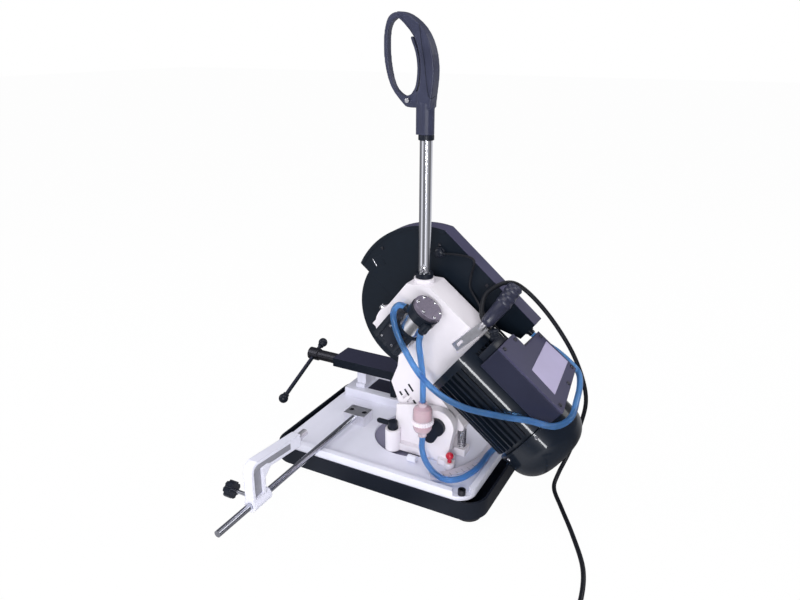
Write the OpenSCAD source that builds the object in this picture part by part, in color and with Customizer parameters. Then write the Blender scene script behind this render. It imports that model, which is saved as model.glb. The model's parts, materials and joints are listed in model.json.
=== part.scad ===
// Bench-top cold saw: a tilting head on a mitre turntable, with a vise, bar stop and coolant pump.
// Millimetres, +Z up, the operator stands at -Y and the blade lies in a YZ plane.

/* [Base] */
// Length of the coolant tank, front to back
tank_l = 446; // [440:1:456]
// Width of the coolant tank
tank_w = 316; // [310:1:340]
// Height of the tank's wall
tank_h = 34; // [30:1:44]
// Thickness of the tank's wall and floor
tank_wall = 4; // [3:0.5:6]
// Radius of the tank's corners
tank_corner = 42; // [38:1:50]
// Height of the rubber feet
foot_h = 6; // [5:1:12]
// Length of the base casting
casting_l = 405; // [400:1:410]
// Width of the base casting
casting_w = 310; // [304:1:312]
// Height of the casting's rim above the tank
rim_h = 17; // [14:1:22]
// Width of the casting's rim
rim_w = 11; // [8:1:14]
// Height of the casting's flat above the tank
flat_h = 6; // [5:1:8]
// Radius of the round well for the turntable
well_r = 83; // [80:1:86]

/* [Vise] */
// Height of the vise bed above the casting's flat
bed_h = 20; // [16:1:24]
// Width of the vise arm and its jaw
arm_w = 64; // [56:1:70]
// Length of the vise arm
arm_l = 158; // [150:1:170]
// Height of the jaws above the bed
jaw_h = 61; // [56:1:66]
// Gap between the jaws as they stand
jaw_gap = 8; // [4:1:12]
// Diameter of the vise screw
screw_d = 14; // [10:1:16]
// Length of the turning bar
bar_l = 175; // [150:1:200]
// Diameter of the turning bar
bar_d = 9; // [7:1:10]

/* [Bar stop] */
// Diameter of the stop rod
stop_rod_d = 12; // [10:1:14]
// How far the stop rod reaches to the right of the saw's middle
stop_reach = 438; // [420:1:480]
// Height of the stop arm above the rod
stop_rise = 80; // [74:1:96]
// Length of the stop arm along the rod
stop_run = 136; // [110:1:150]

/* [Swivel] */
// Height of the hinge above the floor
hinge_z = 121; // [118:1:126]
// Distance of the hinge behind the base's middle
hinge_y = 88; // [84:1:92]
// Radius of the hinge lugs
lug_r = 33; // [30:1:34]
// Diameter of the hinge pin
hinge_pin_d = 22; // [18:1:26]
// Tilt of the raised head
head_tilt = 38.2; // [36:0.1:40]

/* [Head] */
// Diameter of the motor over its fins
motor_d = 155; // [146:1:158]
// Height of the motor shaft over the hinge, square to the shaft
motor_v = 119; // [116:1:124]
// Sideways place of the motor shaft
motor_x = 20; // [18:1:22]
// Length of the finned motor body
motor_l = 178; // [170:1:184]
// Length of the fan cover
fan_cover_l = 72; // [66:1:76]
// Width of the gearbox
gear_w = 54; // [50:1:56]
// Length of the gearbox
gear_l = 162; // [156:1:170]
// Height of the gearbox
gear_h = 145; // [140:1:150]
// Number of teeth on the worm wheel
wheel_teeth = 30; // [24:1:40]

/* [Blade] */
// Diameter of the saw blade
blade_d = 225; // [200:1:230]
// Thickness of the saw blade
blade_t = 2; // [1.6:0.1:2.4]
// Number of saw teeth
blade_teeth = 96; // [60:4:120]
// Sideways place of the blade's middle
blade_x = -59; // [-59.5:0.1:-58.5]
// Room from the blade's edge to the outside of the moving guard
guard_room = 16.5; // [12:0.5:19]

/* [Controls] */
// Diameter of the lever's rod
lever_d = 22; // [18:1:24]
// Length of the lever's rod up to the grip
lever_l = 258; // [230:1:290]
// Height of the lever's grip
grip_h = 195; // [185:1:205]
// Width of the lever's grip over the finger loop
grip_w = 104; // [100:1:110]

/* [Coolant and power] */
// Outer diameter of the coolant hoses
hose_d = 11; // [9:1:12]
// Diameter of the mains cord
cord_d = 8; // [7:0.5:8]
// Turns in each of the two layers of the put-away cord
coil_turns = 2.5; // [1.5:1:2.5]

/* [Hidden] */
$fn = 64;

// Shared fits and cuts
over = 1;
running_fit = 0.05;
slide_gap = 0.5;
seat_gap = 0.3;

// Levels that the base sets
tank_top = foot_h + tank_h;
flat_z = tank_top + flat_h;
rim_z = tank_top + rim_h;
bed_z = flat_z + bed_h;
tank_floor_z = foot_h + tank_wall;
base_rear = 191.5;
base_y = base_rear - casting_l / 2;

// Box between two corners
module block(low, high) {
    translate(low)
        cube(high - low);
}

// Round bars along each axis, from one end to the other
module bar_x(r, x0, x1) {
    translate([x0, 0, 0])
        rotate([0, 90, 0])
            cylinder(r = r, h = x1 - x0);
}
module bar_y(r, y0, y1) {
    translate([0, y0, 0])
        rotate([-90, 0, 0])
            cylinder(r = r, h = y1 - y0);
}
module bar_z(r, z0, z1) {
    translate([0, 0, z0])
        cylinder(r = r, h = z1 - z0);
}

// Upright plate: an outline in Y and Z, thick along X
module plate_x(x0, x1, outline) {
    translate([x0, 0, 0])
        rotate([90, 0, 90])
            linear_extrude(x1 - x0)
                polygon(outline);
}

// Flat plate with round corners, centred on the origin
module round_plate(l, w, r, z0, z1) {
    for (sx = [-1, 1], sy = [-1, 1])
        translate([sx * (w / 2 - r), sy * (l / 2 - r), 0])
            bar_z(r, z0, z1);
    block([-w / 2, r - l / 2, z0], [w / 2, l / 2 - r, z1]);
    block([r - w / 2, -l / 2, z0], [w / 2 - r, l / 2, z1]);
}

// The tilted head's own frame: Y runs back along the motor shaft, Z square to it, origin on the hinge
module in_head() {
    translate([0, hinge_y, hinge_z])
        rotate([-head_tilt, 0, 0])
            children();
}
function from_head(u, v) = [
    hinge_y + u * cos(head_tilt) + v * sin(head_tilt),
    hinge_z - u * sin(head_tilt) + v * cos(head_tilt)
];
function head_point(x, u, v) = [x, from_head(u, v)[0], from_head(u, v)[1]];

// Tube swept along points: a smooth curve with straight ends, then rings joined by triangles
function curve_point(a, b, c, d, t) =
    (2 * b + (c - a) * t + (2 * a - 5 * b + 4 * c - d) * t * t + (3 * b - a - 3 * c + d) * t * t * t) / 2;
function smooth(p, steps) = let (n = len(p) - 1) concat(
    [for (i = [0:n - 1], k = [0:steps - 1])
        curve_point(p[max(i - 1, 0)], p[i], p[i + 1], p[min(i + 2, n)], k / steps)],
    [p[n]]);
function led(p, steps) = let (n = len(p) - 1)
    concat([p[0]], smooth([for (i = [1:n - 1]) p[i]], steps), [p[n]]);
function unit(v) = v / norm(v);
function tangents(p) = [for (i = [0:len(p) - 1]) unit(p[min(i + 1, len(p) - 1)] - p[max(i - 1, 0)])];
function carried(t, i, side) = let (s = unit(side - (side * t[i]) * t[i]))
    i == len(t) - 1 ? [s] : concat([s], carried(t, i + 1, s));
module tube(p, r, sides, start_side) {
    t = tangents(p);
    side = carried(t, 0, start_side);
    n = len(p);
    points = [for (i = [0:n - 1], k = [0:sides - 1]) let (a = 360 * k / sides)
        p[i] + r * (cos(a) * side[i] + sin(a) * cross(t[i], side[i]))];
    walls = [for (i = [0:n - 2], k = [0:sides - 1]) let (
            a = i * sides + k,
            b = i * sides + (k + 1) % sides)
        each [[a, a + sides, b], [b, a + sides, b + sides]]];
    caps = [for (k = [1:sides - 2]) let (e = (n - 1) * sides)
        each [[0, k, k + 1], [e, e + k + 1, e + k]]];
    polyhedron(points, concat(walls, caps));
}

// Sides of the swept tubes, and steps between the points of a route
hose_sides = 10;
cord_sides = 8;
coil_sides = 6;
wire_sides = 6;
bar_sides = 12;
thread_sides = 4;
route_steps = 3;

// Least distance between the tube's surface and itself, for points that lie apart along it
function self_gap(p, r, apart) = min([for (i = [0:len(p) - 1 - apart])
    min([for (j = [i + apart:len(p) - 1]) norm(p[i] - p[j])])]) - 2 * r;

// Coolant tank
module coolant_tank() {
    color("#23242c")
        difference() {
            translate([0, base_y, 0])
                round_plate(tank_l, tank_w, tank_corner, foot_h, tank_top);
            translate([0, base_y, 0])
                round_plate(tank_l - 2 * tank_wall, tank_w - 2 * tank_wall, tank_corner - tank_wall,
                    tank_floor_z, tank_top + over);
            at_feet()
                bar_z(bench_bolt_d / 2, foot_h - over, tank_floor_z + over);
        }
}

// Rubber feet, each drilled for a bench bolt
foot_r = 24;
bench_bolt_d = 9;
foot_inset_x = 30;
foot_y = 180;
module at_feet() {
    for (sx = [-1, 1], sy = [-1, 1])
        translate([sx * (tank_w / 2 - foot_inset_x), sy * foot_y, 0])
            children();
}
module rubber_feet() {
    color("#1b1b20")
        at_feet()
            difference() {
                bar_z(foot_r, 0, foot_h);
                bar_z(bench_bolt_d / 2, -over, foot_h + over);
            }
}

// Base casting with rim, turntable well, scale ledge and vise bed
casting_corner = 32;
well_wall = 6;
well_depth = 12;
well_floor_z = flat_z - well_depth;
swivel_y = 10;
spigot_r = 15;
bed_x0 = -150;
bed_x1 = -72;
bed_y0 = -204;
bed_y1 = -50;
ledge_w = 24;
ledge_h = 6;
ledge_side = 6.5;
ledge_end_angle = 100;
ledge_out_r = base_rear - rim_w - swivel_y - slide_gap;
ledge_r = ledge_out_r - ledge_w;
ledge_start_angle = acos(min(1, (casting_w / 2 - rim_w - ledge_side) / ledge_out_r));
ledge_angle = ledge_end_angle - ledge_start_angle;
corner_pad = 34;
corner_pad_h = 2;
port_x = 92;
port_y = 40;
port_r = 7;
port_l = 18;
port_bore_r = 4;
bolt_inset_x = 12;
bolt_inset_y = 19;
bolt_d = 10;
module at_bolts() {
    for (sx = [-1, 1], sy = [-1, 1])
        translate([sx * (casting_w / 2 - bolt_inset_x), base_y + sy * (casting_l / 2 - bolt_inset_y), 0])
            children();
}
module ring_part(r0, r1, z0, z1, start, sweep) {
    rotate([0, 0, start])
        rotate_extrude(angle = sweep)
            translate([r0, z0])
                square([r1 - r0, z1 - z0]);
}
module base_casting() {
    well_base_z = well_floor_z - well_wall;
    color("#f2f1f6")
        difference() {
            union() {
                difference() {
                    translate([0, base_y, 0])
                        round_plate(casting_l, casting_w, casting_corner, tank_top, rim_z);
                    translate([0, base_y, 0])
                        round_plate(casting_l - 2 * rim_w, casting_w - 2 * rim_w, casting_corner - rim_w,
                            flat_z, rim_z + over);
                    block([rim_w - casting_w / 2, base_y - casting_l / 2 - over, flat_z],
                        [casting_w / 2 - rim_w, base_y, rim_z + over]);
                }
                translate([0, swivel_y, 0])
                    bar_z(well_r + well_wall, well_base_z, flat_z);
                translate([0, swivel_y, 0])
                    ring_part(ledge_r, ledge_out_r, flat_z, flat_z + ledge_h, ledge_start_angle, ledge_angle);
                block([bed_x0, bed_y0, tank_top], [bed_x1, bed_y1, bed_z]);
                translate([port_x, port_y, flat_z + port_r])
                    bar_y(port_r, 0, port_l);
            }
            translate([0, swivel_y, 0])
                bar_z(well_r, well_floor_z, flat_z + over);
            translate([0, swivel_y, 0])
                bar_z(spigot_r + running_fit, well_base_z - over, flat_z);
            translate([port_x, port_y, flat_z + port_r])
                bar_y(port_bore_r, port_l / 2, port_l + over);
            at_bolts()
                bar_z(bolt_d / 2 + slide_gap / 2, tank_top - over, rim_z);
            at_bolts()
                bar_z(corner_pad / 2, flat_z + corner_pad_h, bed_z + over);
            translate([0, stop_y, stop_rod_z])
                bar_x(stop_rod_d / 2 + slide_gap, casting_w / 2 - rim_w - over, casting_w / 2 + over);
        }
}

// Socket screw standing on its seat
module socket_screw(d, head_d, head_h, seat_z, end_z) {
    difference() {
        union() {
            bar_z(head_d / 2, seat_z, seat_z + head_h);
            bar_z(d / 2, end_z, seat_z);
        }
        translate([0, 0, seat_z + head_h / 2])
            cylinder(d = d, h = head_h, $fn = 6);
    }
}

// Bolts that hold the casting on the tank
bolt_head_d = 14;
bolt_head_h = 10;
bolt_drop = 3;
module base_bolts() {
    color("#26262e")
        at_bolts()
            socket_screw(bolt_d, bolt_head_d, bolt_head_h, flat_z + corner_pad_h, tank_top - bolt_drop);
}

// Mitre scale: an engraved strip on the ledge
scale_inset = 3;
scale_t = 2;
scale_ticks = 13;
tick_w = 0.8;
tick_depth = 0.6;
module mitre_scale() {
    scale_z = flat_z + ledge_h;
    long_r0 = ledge_r + scale_inset;
    long_r1 = ledge_out_r - scale_inset;
    color("#cfcbdc")
        translate([0, swivel_y, 0])
            difference() {
                ring_part(long_r0, long_r1, scale_z, scale_z + scale_t, ledge_start_angle, ledge_angle);
                for (k = [1:scale_ticks])
                    rotate([0, 0, ledge_start_angle + ledge_angle * k / (scale_ticks + 1)])
                        block([(long_r0 + long_r1) / 2, -tick_w / 2, scale_z + scale_t - tick_depth],
                            [long_r1 + over, tick_w / 2, scale_z + scale_t + over]);
            }
}

// Vise: fixed jaw, nut, sliding arm with the moving jaw, screw and turning bar
jaw_x1 = -78;
jaw_x0 = jaw_x1 - arm_w;
vise_x = (jaw_x0 + jaw_x1) / 2;
jaw_top_z = bed_z + jaw_h;
fixed_face_y = -72;
fixed_jaw_t = 20;
moving_face_y = fixed_face_y - jaw_gap;
moving_jaw_t = 12;
arm_y0 = moving_face_y - arm_l;
arm_depth = 20;
arm_wall = 5;
arm_end = 8;
screw_drop = 18;
screw_z = jaw_top_z - screw_drop;
groove_r = 4;
module fixed_jaw() {
    color("#3a3a44")
        difference() {
            block([jaw_x0, fixed_face_y, bed_z], [jaw_x1, fixed_face_y + fixed_jaw_t, jaw_top_z]);
            translate([vise_x, fixed_face_y - over, bed_z])
                rotate([0, 0, 45])
                    block([-groove_r, -groove_r, -over], [groove_r, groove_r, jaw_h + 2 * over]);
        }
}
nut_y = -173;
nut_l = 22;
nut_w = 34;
nut_base_w = 46;
nut_base_h = 8;
module vise_nut() {
    nut_top = jaw_top_z - arm_wall - slide_gap;
    color("#f2f1f6")
        difference() {
            union() {
                block([vise_x - nut_w / 2, nut_y - nut_l / 2, bed_z],
                    [vise_x + nut_w / 2, nut_y + nut_l / 2, nut_top]);
                block([vise_x - nut_base_w / 2, nut_y - nut_l / 2, bed_z],
                    [vise_x + nut_base_w / 2, nut_y + nut_l / 2, bed_z + nut_base_h]);
            }
            translate([vise_x, nut_y, screw_z])
                bar_y(screw_d / 2 + running_fit, -nut_l, nut_l);
        }
}
module vise_arm() {
    arm_z0 = jaw_top_z - arm_depth;
    jaw_y0 = moving_face_y - moving_jaw_t;
    color("#2b2b35")
        difference() {
            union() {
                block([jaw_x0, arm_y0, arm_z0], [jaw_x1, moving_face_y, jaw_top_z]);
                block([jaw_x0, jaw_y0, bed_z + seat_gap], [jaw_x1, moving_face_y, jaw_top_z]);
            }
            block([jaw_x0 + arm_wall, arm_y0 + arm_end, arm_z0 - over],
                [jaw_x1 - arm_wall, jaw_y0, jaw_top_z - arm_wall]);
            translate([vise_x, 0, screw_z])
                bar_y(screw_d / 2 + running_fit, arm_y0 - over, arm_y0 + arm_end + over);
        }
}
hub_r = 12;
hub_l = 82;
hub_neck = 24;
hub_cap_r = 14;
screw_tail = 38;
collar_l = 6;
bar_slope = 24;
bar_share = 0.21;
module vise_screw() {
    hub_y0 = arm_y0 - slide_gap - hub_l;
    color("#33333d")
        translate([vise_x, 0, screw_z])
            difference() {
                union() {
                    bar_y(hub_r, hub_y0, arm_y0 - slide_gap);
                    bar_y(hub_cap_r, hub_y0, hub_y0 + hub_neck);
                    bar_y(screw_d / 2, hub_y0, nut_y + screw_tail);
                    bar_y(hub_r, arm_y0 + arm_end + slide_gap, arm_y0 + arm_end + slide_gap + collar_l);
                }
                translate([0, hub_y0 + hub_neck / 2, 0])
                    rotate([0, bar_slope, 0])
                        bar_x(bar_d / 2 + running_fit, -hub_cap_r - over, hub_cap_r + over);
            }
}
module on_bar() {
    translate([vise_x, arm_y0 - slide_gap - hub_l + hub_neck / 2, screw_z])
        rotate([0, bar_slope, 0])
            children();
}
ball_d = 21;
ball_neck_r = 7;
ball_neck_l = 12;
module vise_bar() {
    color("#2b2b35")
        on_bar()
            bar_x(bar_d / 2, ball_neck_l - bar_share * bar_l, (1 - bar_share) * bar_l - ball_neck_l);
}
module vise_bar_balls() {
    color("#24242c")
        on_bar()
            for (end = [[-bar_share * bar_l, 90], [(1 - bar_share) * bar_l, -90]])
                translate([end[0], 0, 0])
                    rotate([0, end[1], 0]) {
                        sphere(d = ball_d);
                        bar_z(ball_neck_r, 0, ball_neck_l);
                    }
}

// Bar stop: block, rod, sliding arm with its stop pin, and clamp knob
stop_y = -120;
stop_rod_h = 16;
stop_rod_z = flat_z + stop_rod_h;
stop_block_x0 = -8;
stop_block_x1 = 28;
stop_block_w = 48;
stop_block_h = 23;
stop_screw_d = 6;
stop_screw_head_d = 10;
stop_screw_head_h = 6;
stop_screw_spread = 30;
module stop_block() {
    color("#b9b8c2")
        difference() {
            block([stop_block_x0, stop_y - stop_block_w / 2, flat_z],
                [stop_block_x1, stop_y + stop_block_w / 2, flat_z + stop_block_h]);
            translate([0, stop_y, stop_rod_z])
                bar_x(stop_rod_d / 2, stop_block_x0 - over, stop_block_x1 + over);
            at_stop_screws()
                bar_z(stop_screw_head_d / 2 + seat_gap, flat_z + stop_block_h - stop_screw_head_h,
                    flat_z + stop_block_h + over);
            at_stop_screws()
                bar_z(stop_screw_d / 2 + running_fit, flat_z - over, flat_z + stop_block_h);
        }
}
module at_stop_screws() {
    for (sy = [-1, 1])
        translate([(stop_block_x0 + stop_block_x1) / 2, stop_y + sy * stop_screw_spread / 2, 0])
            children();
}
module stop_block_screws() {
    color("#4a4a55")
        at_stop_screws()
            socket_screw(stop_screw_d, stop_screw_head_d, stop_screw_head_h,
                flat_z + stop_block_h - stop_screw_head_h, flat_z);
}
module stop_rod() {
    color("#c9c8d2")
        translate([0, stop_y, stop_rod_z])
            bar_x(stop_rod_d / 2, stop_block_x0, stop_reach);
}
stop_hub_x1 = 358;
stop_hub_l = 44;
stop_hub_r = 12;
stop_arm_t = 18;
stop_arm_w = 34;
stop_beam_h = 24;
stop_outer_r = 16;
stop_drop = 12;
stop_pin_r = 6.5;
stop_pin_l = 26;
stop_pin_grip = 30;
stop_nut_r = 9;
stop_nut_l = 6;
stop_web_t = 8;
stop_web_edge = 6;
stop_knob_d = 6;
module stop_arm() {
    x0 = stop_hub_x1 - stop_run;
    top = stop_rod_z + stop_rise;
    half = stop_arm_t / 2;
    web_cut = (half + over - stop_web_t / 2) / 2;
    color("#f2f1f6")
        translate([0, stop_y, 0])
            difference() {
                union() {
                    translate([0, half, 0])
                        rotate([90, 0, 0])
                            linear_extrude(stop_arm_t)
                                polygon([
                                    [stop_hub_x1, stop_rod_z],
                                    [stop_hub_x1, top - stop_outer_r],
                                    [stop_hub_x1 - stop_outer_r / 4, top - stop_outer_r / 3],
                                    [stop_hub_x1 - stop_outer_r, top],
                                    [x0, top - stop_drop],
                                    [x0, top - stop_drop - stop_beam_h],
                                    [stop_hub_x1 - stop_arm_w - stop_outer_r,
                                        top - stop_beam_h - stop_drop / 4],
                                    [stop_hub_x1 - stop_arm_w, top - stop_beam_h - stop_outer_r],
                                    [stop_hub_x1 - stop_arm_w, stop_rod_z]
                                ]);
                    translate([0, 0, stop_rod_z])
                        bar_x(stop_hub_r, stop_hub_x1 - stop_hub_l, stop_hub_x1);
                }
                for (side = [-1, 1])
                    translate([0, side * (stop_web_t / 2 + web_cut), 0])
                        block([stop_hub_x1 - stop_arm_w + stop_web_edge, -web_cut, stop_rod_z + stop_hub_r],
                            [stop_hub_x1 - stop_web_edge, web_cut, top - stop_outer_r]);
                translate([0, 0, stop_rod_z])
                    bar_x(stop_rod_d / 2 + running_fit, stop_hub_x1 - stop_hub_l - over, stop_hub_x1 + over);
                translate([0, 0, top - stop_drop - stop_beam_h / 2])
                    bar_x(stop_pin_r + running_fit, x0 - over, x0 + stop_pin_grip);
                translate([stop_hub_x1 - stop_hub_l / 2, 0, stop_rod_z])
                    bar_y(stop_knob_d / 2 + running_fit, -stop_hub_r - over, 0);
            }
}
module stop_pin() {
    x0 = stop_hub_x1 - stop_run;
    color("#e9e8ee")
        translate([0, stop_y, stop_rod_z + stop_rise - stop_drop - stop_beam_h / 2]) {
            bar_x(stop_pin_r, x0 - stop_pin_l, x0 + stop_pin_grip);
            difference() {
                translate([x0 - stop_nut_l, 0, 0])
                    rotate([0, 90, 0])
                        cylinder(r = stop_nut_r, h = stop_nut_l, $fn = 6);
                bar_x(stop_pin_r, x0 - stop_pin_l, x0 + over);
            }
        }
}
knob_r = 15;
knob_t = 14;
knob_reach = 52;
knob_lobes = 7;
knob_lobe_r = 3.5;
module stop_knob() {
    tip_y = -stop_rod_d / 2 - slide_gap;
    color("#24242c")
        translate([stop_hub_x1 - stop_hub_l / 2, stop_y, stop_rod_z]) {
            bar_y(stop_knob_d / 2, -knob_reach, tip_y);
            difference() {
                bar_y(knob_r, -knob_reach - knob_t, -knob_reach);
                for (k = [0:knob_lobes - 1])
                    rotate([0, 360 * k / knob_lobes, 0])
                        translate([knob_r + knob_lobe_r / 3, 0, 0])
                            bar_y(knob_lobe_r, -knob_reach - knob_t - over, over - knob_reach);
            }
        }
}

// Turntable: disc in the well with its pivot spigot
disc_z0 = well_floor_z + seat_gap;
disc_drop = 5;
disc_z1 = flat_z - disc_drop;
spigot_l = 14;
module turntable_disc() {
    color("#6f6a86")
        translate([0, swivel_y, 0]) {
            bar_z(well_r - slide_gap, disc_z0, disc_z1);
            bar_z(spigot_r, disc_z0 - spigot_l, disc_z0 + over);
        }
}

// Swivel bracket: foot, hub on the disc, two hinge lugs, clamp boss and index ear
bracket_z0 = flat_z + slide_gap;
bracket_foot_h = 15;
bracket_z1 = bracket_z0 + bracket_foot_h;
bracket_x0 = -30;
bracket_x1 = 68;
bracket_y0 = -22;
bracket_y1 = 108;
bracket_corner = 14;
bracket_hub_r = 46;
near_lug_x0 = 50;
far_lug_x1 = -12;
web_x1 = 56;
far_lug_r = 30;
web_top_drop = 4;
clamp_x = 67;
clamp_y = -6;
clamp_boss_r = 15;
clamp_boss_h = 44;
clamp_stud_r = 5;
index_ball_d = 15;
index_clear = 1.5;
index_x = bracket_x1 + index_ball_d / 2 + index_clear;
index_y = 119;
index_ear_r = 10;
index_ear_h = 12;
index_r = 4;
tongue_x0 = 8;
tongue_x1 = 32;
tongue_y1 = 130;
module swivel_bracket() {
    far_lug_x0 = bracket_x0;
    foot_c = [(bracket_x0 + bracket_x1) / 2, (bracket_y0 + bracket_y1) / 2, 0];
    web_front = bracket_y0 + bracket_corner;
    color("#f2f1f6")
        difference() {
            union() {
                translate(foot_c)
                    round_plate(bracket_y1 - bracket_y0, bracket_x1 - bracket_x0, bracket_corner,
                        bracket_z0, bracket_z1);
                translate([0, swivel_y, 0])
                    bar_z(bracket_hub_r, disc_z1, bracket_z0);
                translate([0, hinge_y, hinge_z])
                    bar_x(lug_r, near_lug_x0, bracket_x1);
                block([near_lug_x0, hinge_y - lug_r, bracket_z0], [bracket_x1, bracket_y1, hinge_z]);
                plate_x(near_lug_x0, bracket_x1,
                    [[bracket_y1, bracket_z0], [hinge_y + lug_r, hinge_z], [hinge_y, hinge_z],
                        [hinge_y, bracket_z0]]);
                plate_x(near_lug_x0, web_x1, [
                    [web_front, bracket_z0],
                    [web_front + web_top_drop, hinge_z + lug_r / 2],
                    [hinge_y - lug_r, hinge_z + lug_r - web_top_drop],
                    [hinge_y, hinge_z + lug_r],
                    [hinge_y, bracket_z0]
                ]);
                translate([0, hinge_y, hinge_z])
                    bar_x(far_lug_r, far_lug_x0, far_lug_x1);
                block([far_lug_x0, hinge_y - far_lug_r, bracket_z0], [far_lug_x1, bracket_y1, hinge_z]);
                translate([clamp_x, clamp_y, 0])
                    bar_z(clamp_boss_r, bracket_z0, bracket_z0 + clamp_boss_h);
                translate([index_x, index_y, 0])
                    bar_z(index_ear_r, bracket_z0, bracket_z0 + index_ear_h);
                block([near_lug_x0, bracket_y1 - bracket_corner, bracket_z0],
                    [index_x, index_y, bracket_z0 + index_ear_h]);
                block([tongue_x0, bracket_y1 - bracket_corner, bracket_z0],
                    [tongue_x1, tongue_y1, bracket_z1]);
            }
            translate([0, hinge_y, hinge_z])
                bar_x(hinge_pin_d / 2, far_lug_x0 - over, bracket_x1 + over);
            translate([clamp_x, clamp_y, 0])
                bar_z(clamp_stud_r + running_fit, bracket_z0 - over, bracket_z0 + clamp_boss_h + over);
            translate([index_x, index_y, 0])
                bar_z(index_r + running_fit, bracket_z0 - over, bracket_z0 + index_ear_h + over);
        }
}

// Hinge pin with its black cap
hinge_pin_out = 5;
cap_t = 8;
cap_r = 17;
cap_wing_r = 12;
cap_wing = 26;
cap_angle = 62;
module hinge_pin() {
    color("#b9b8c2")
        translate([0, hinge_y, hinge_z])
            bar_x(hinge_pin_d / 2, bracket_x0 - slide_gap, bracket_x1 + hinge_pin_out);
}
module hinge_cap() {
    color("#22222a")
        translate([0, hinge_y, hinge_z])
            difference() {
                union() {
                    bar_x(cap_r, bracket_x1, bracket_x1 + cap_t);
                    rotate([cap_angle, 0, 0])
                        block([bracket_x1, -cap_wing, -cap_wing_r], [bracket_x1 + cap_t, 0, cap_wing_r]);
                    rotate([cap_angle, 0, 0])
                        translate([0, -cap_wing, 0])
                            bar_x(cap_wing_r, bracket_x1, bracket_x1 + cap_t);
                }
                bar_x(hinge_pin_d / 2, bracket_x1 - over, bracket_x1 + hinge_pin_out);
            }
}

// Return spring between the bracket's tongue and the head's ear
spring_x = (tongue_x0 + tongue_x1) / 2;
ear_u = 32;
ear_v = 9;
ear_r = 8;
spring_r = 8;
spring_wire = 2.4;
spring_turns = 8;
spring_rings = 8;
function spring_path(z0, z1) = let (n = spring_turns * spring_rings) concat(
    [[spring_r, -spring_wire, z0]],
    [for (i = [0:n]) let (a = 360 * i / spring_rings)
        [spring_r * cos(a), spring_r * sin(a), z0 + (z1 - z0) * i / n]],
    [[spring_r, spring_wire, z1]]);
spring_z0 = bracket_z1 + spring_wire / 2 + seat_gap;
spring_z1 = from_head(ear_u, ear_v)[1] - ear_r - spring_wire / 2 - seat_gap;
module return_spring() {
    path = spring_path(spring_z0, spring_z1);
    echo(return_spring_gap = self_gap(path, spring_wire / 2, spring_rings - 2));
    color("#8d8c98")
        translate([spring_x, from_head(ear_u, ear_v)[0], 0])
            tube(path, spring_wire / 2, wire_sides, [1, 0, 0]);
}

// Clamp lever that locks the mitre
clamp_hub_r = 9;
clamp_hub_h = 12;
clamp_arm_l = 30;
clamp_arm_r = 5;
clamp_washer_r = 10.5;
clamp_washer_t = 3;
clamp_rise = 6;
module clamp_lever() {
    z0 = bracket_z0 + clamp_boss_h;
    color("#22222a")
        translate([clamp_x, clamp_y, 0]) {
            bar_z(clamp_washer_r, z0, z0 + clamp_washer_t);
            bar_z(clamp_hub_r, z0, z0 + clamp_washer_t + clamp_hub_h);
            bar_z(clamp_stud_r, bracket_z0, z0 + over);
            translate([0, 0, z0 + clamp_washer_t + clamp_rise])
                bar_y(clamp_arm_r, -clamp_arm_l, 0);
            translate([0, -clamp_arm_l, z0 + clamp_washer_t + clamp_rise])
                sphere(r = clamp_arm_r);
        }
}

// Index pin with its red ball
index_stem = 8;
module index_pin() {
    ear_top = bracket_z0 + index_ear_h;
    color("#c8203a")
        translate([index_x, index_y, 0]) {
            bar_z(index_r, bracket_z0, ear_top + index_stem);
            translate([0, 0, ear_top + index_stem + index_ball_d / 3])
                sphere(d = index_ball_d);
        }
}

// Gearbox: housing with the hinge arm and lever pad, closed on the blade side by its cover
gear_offset = 1;
gear_x1 = motor_x + gear_w / 2 - gear_offset;
gear_x0 = gear_x1 - gear_w;
gear_u1 = -60;
gear_u0 = gear_u1 - gear_l;
gear_v0 = 42;
gear_v1 = gear_v0 + gear_h;
gear_wall = 7;
pad_l = 46;
pad_boss_r = 19;
pad_boss_h = 8;
spindle_u = -183;
spindle_v = 74;
arm_hub_r = 26;
wheel_case_r = 44;
flange_bore_r = 30;
arm_slot_w = 4;
arm_slot_l = 16;
arm_slots = 3;
arm_slot_pitch = 11;
arm_slot_depth = 6;
lever_x = motor_x;
lever_pad_u = gear_u0 + pad_l / 2 * cos(head_tilt);
lever_pad_v = gear_v1 - pad_l / 2 * sin(head_tilt);
lever_y = from_head(lever_pad_u, lever_pad_v)[0];
lever_pad_z = from_head(lever_pad_u, lever_pad_v)[1];
module gearbox_outline(inset) {
    polygon([
        [gear_u0 + inset, gear_v0 + inset],
        [gear_u0 + inset, gear_v1 - inset - pad_l * sin(head_tilt)],
        [gear_u0 + inset + pad_l * cos(head_tilt), gear_v1 - inset],
        [gear_u1 - inset, gear_v1 - inset],
        [gear_u1 - inset, gear_v0 + inset]
    ]);
}
arm_root_u = -150;
arm_knee = [-132, 14];
arm_toe = [-121, -22];
arm_heel = [-84, -44];
arm_motor_gap = 2;
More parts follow.
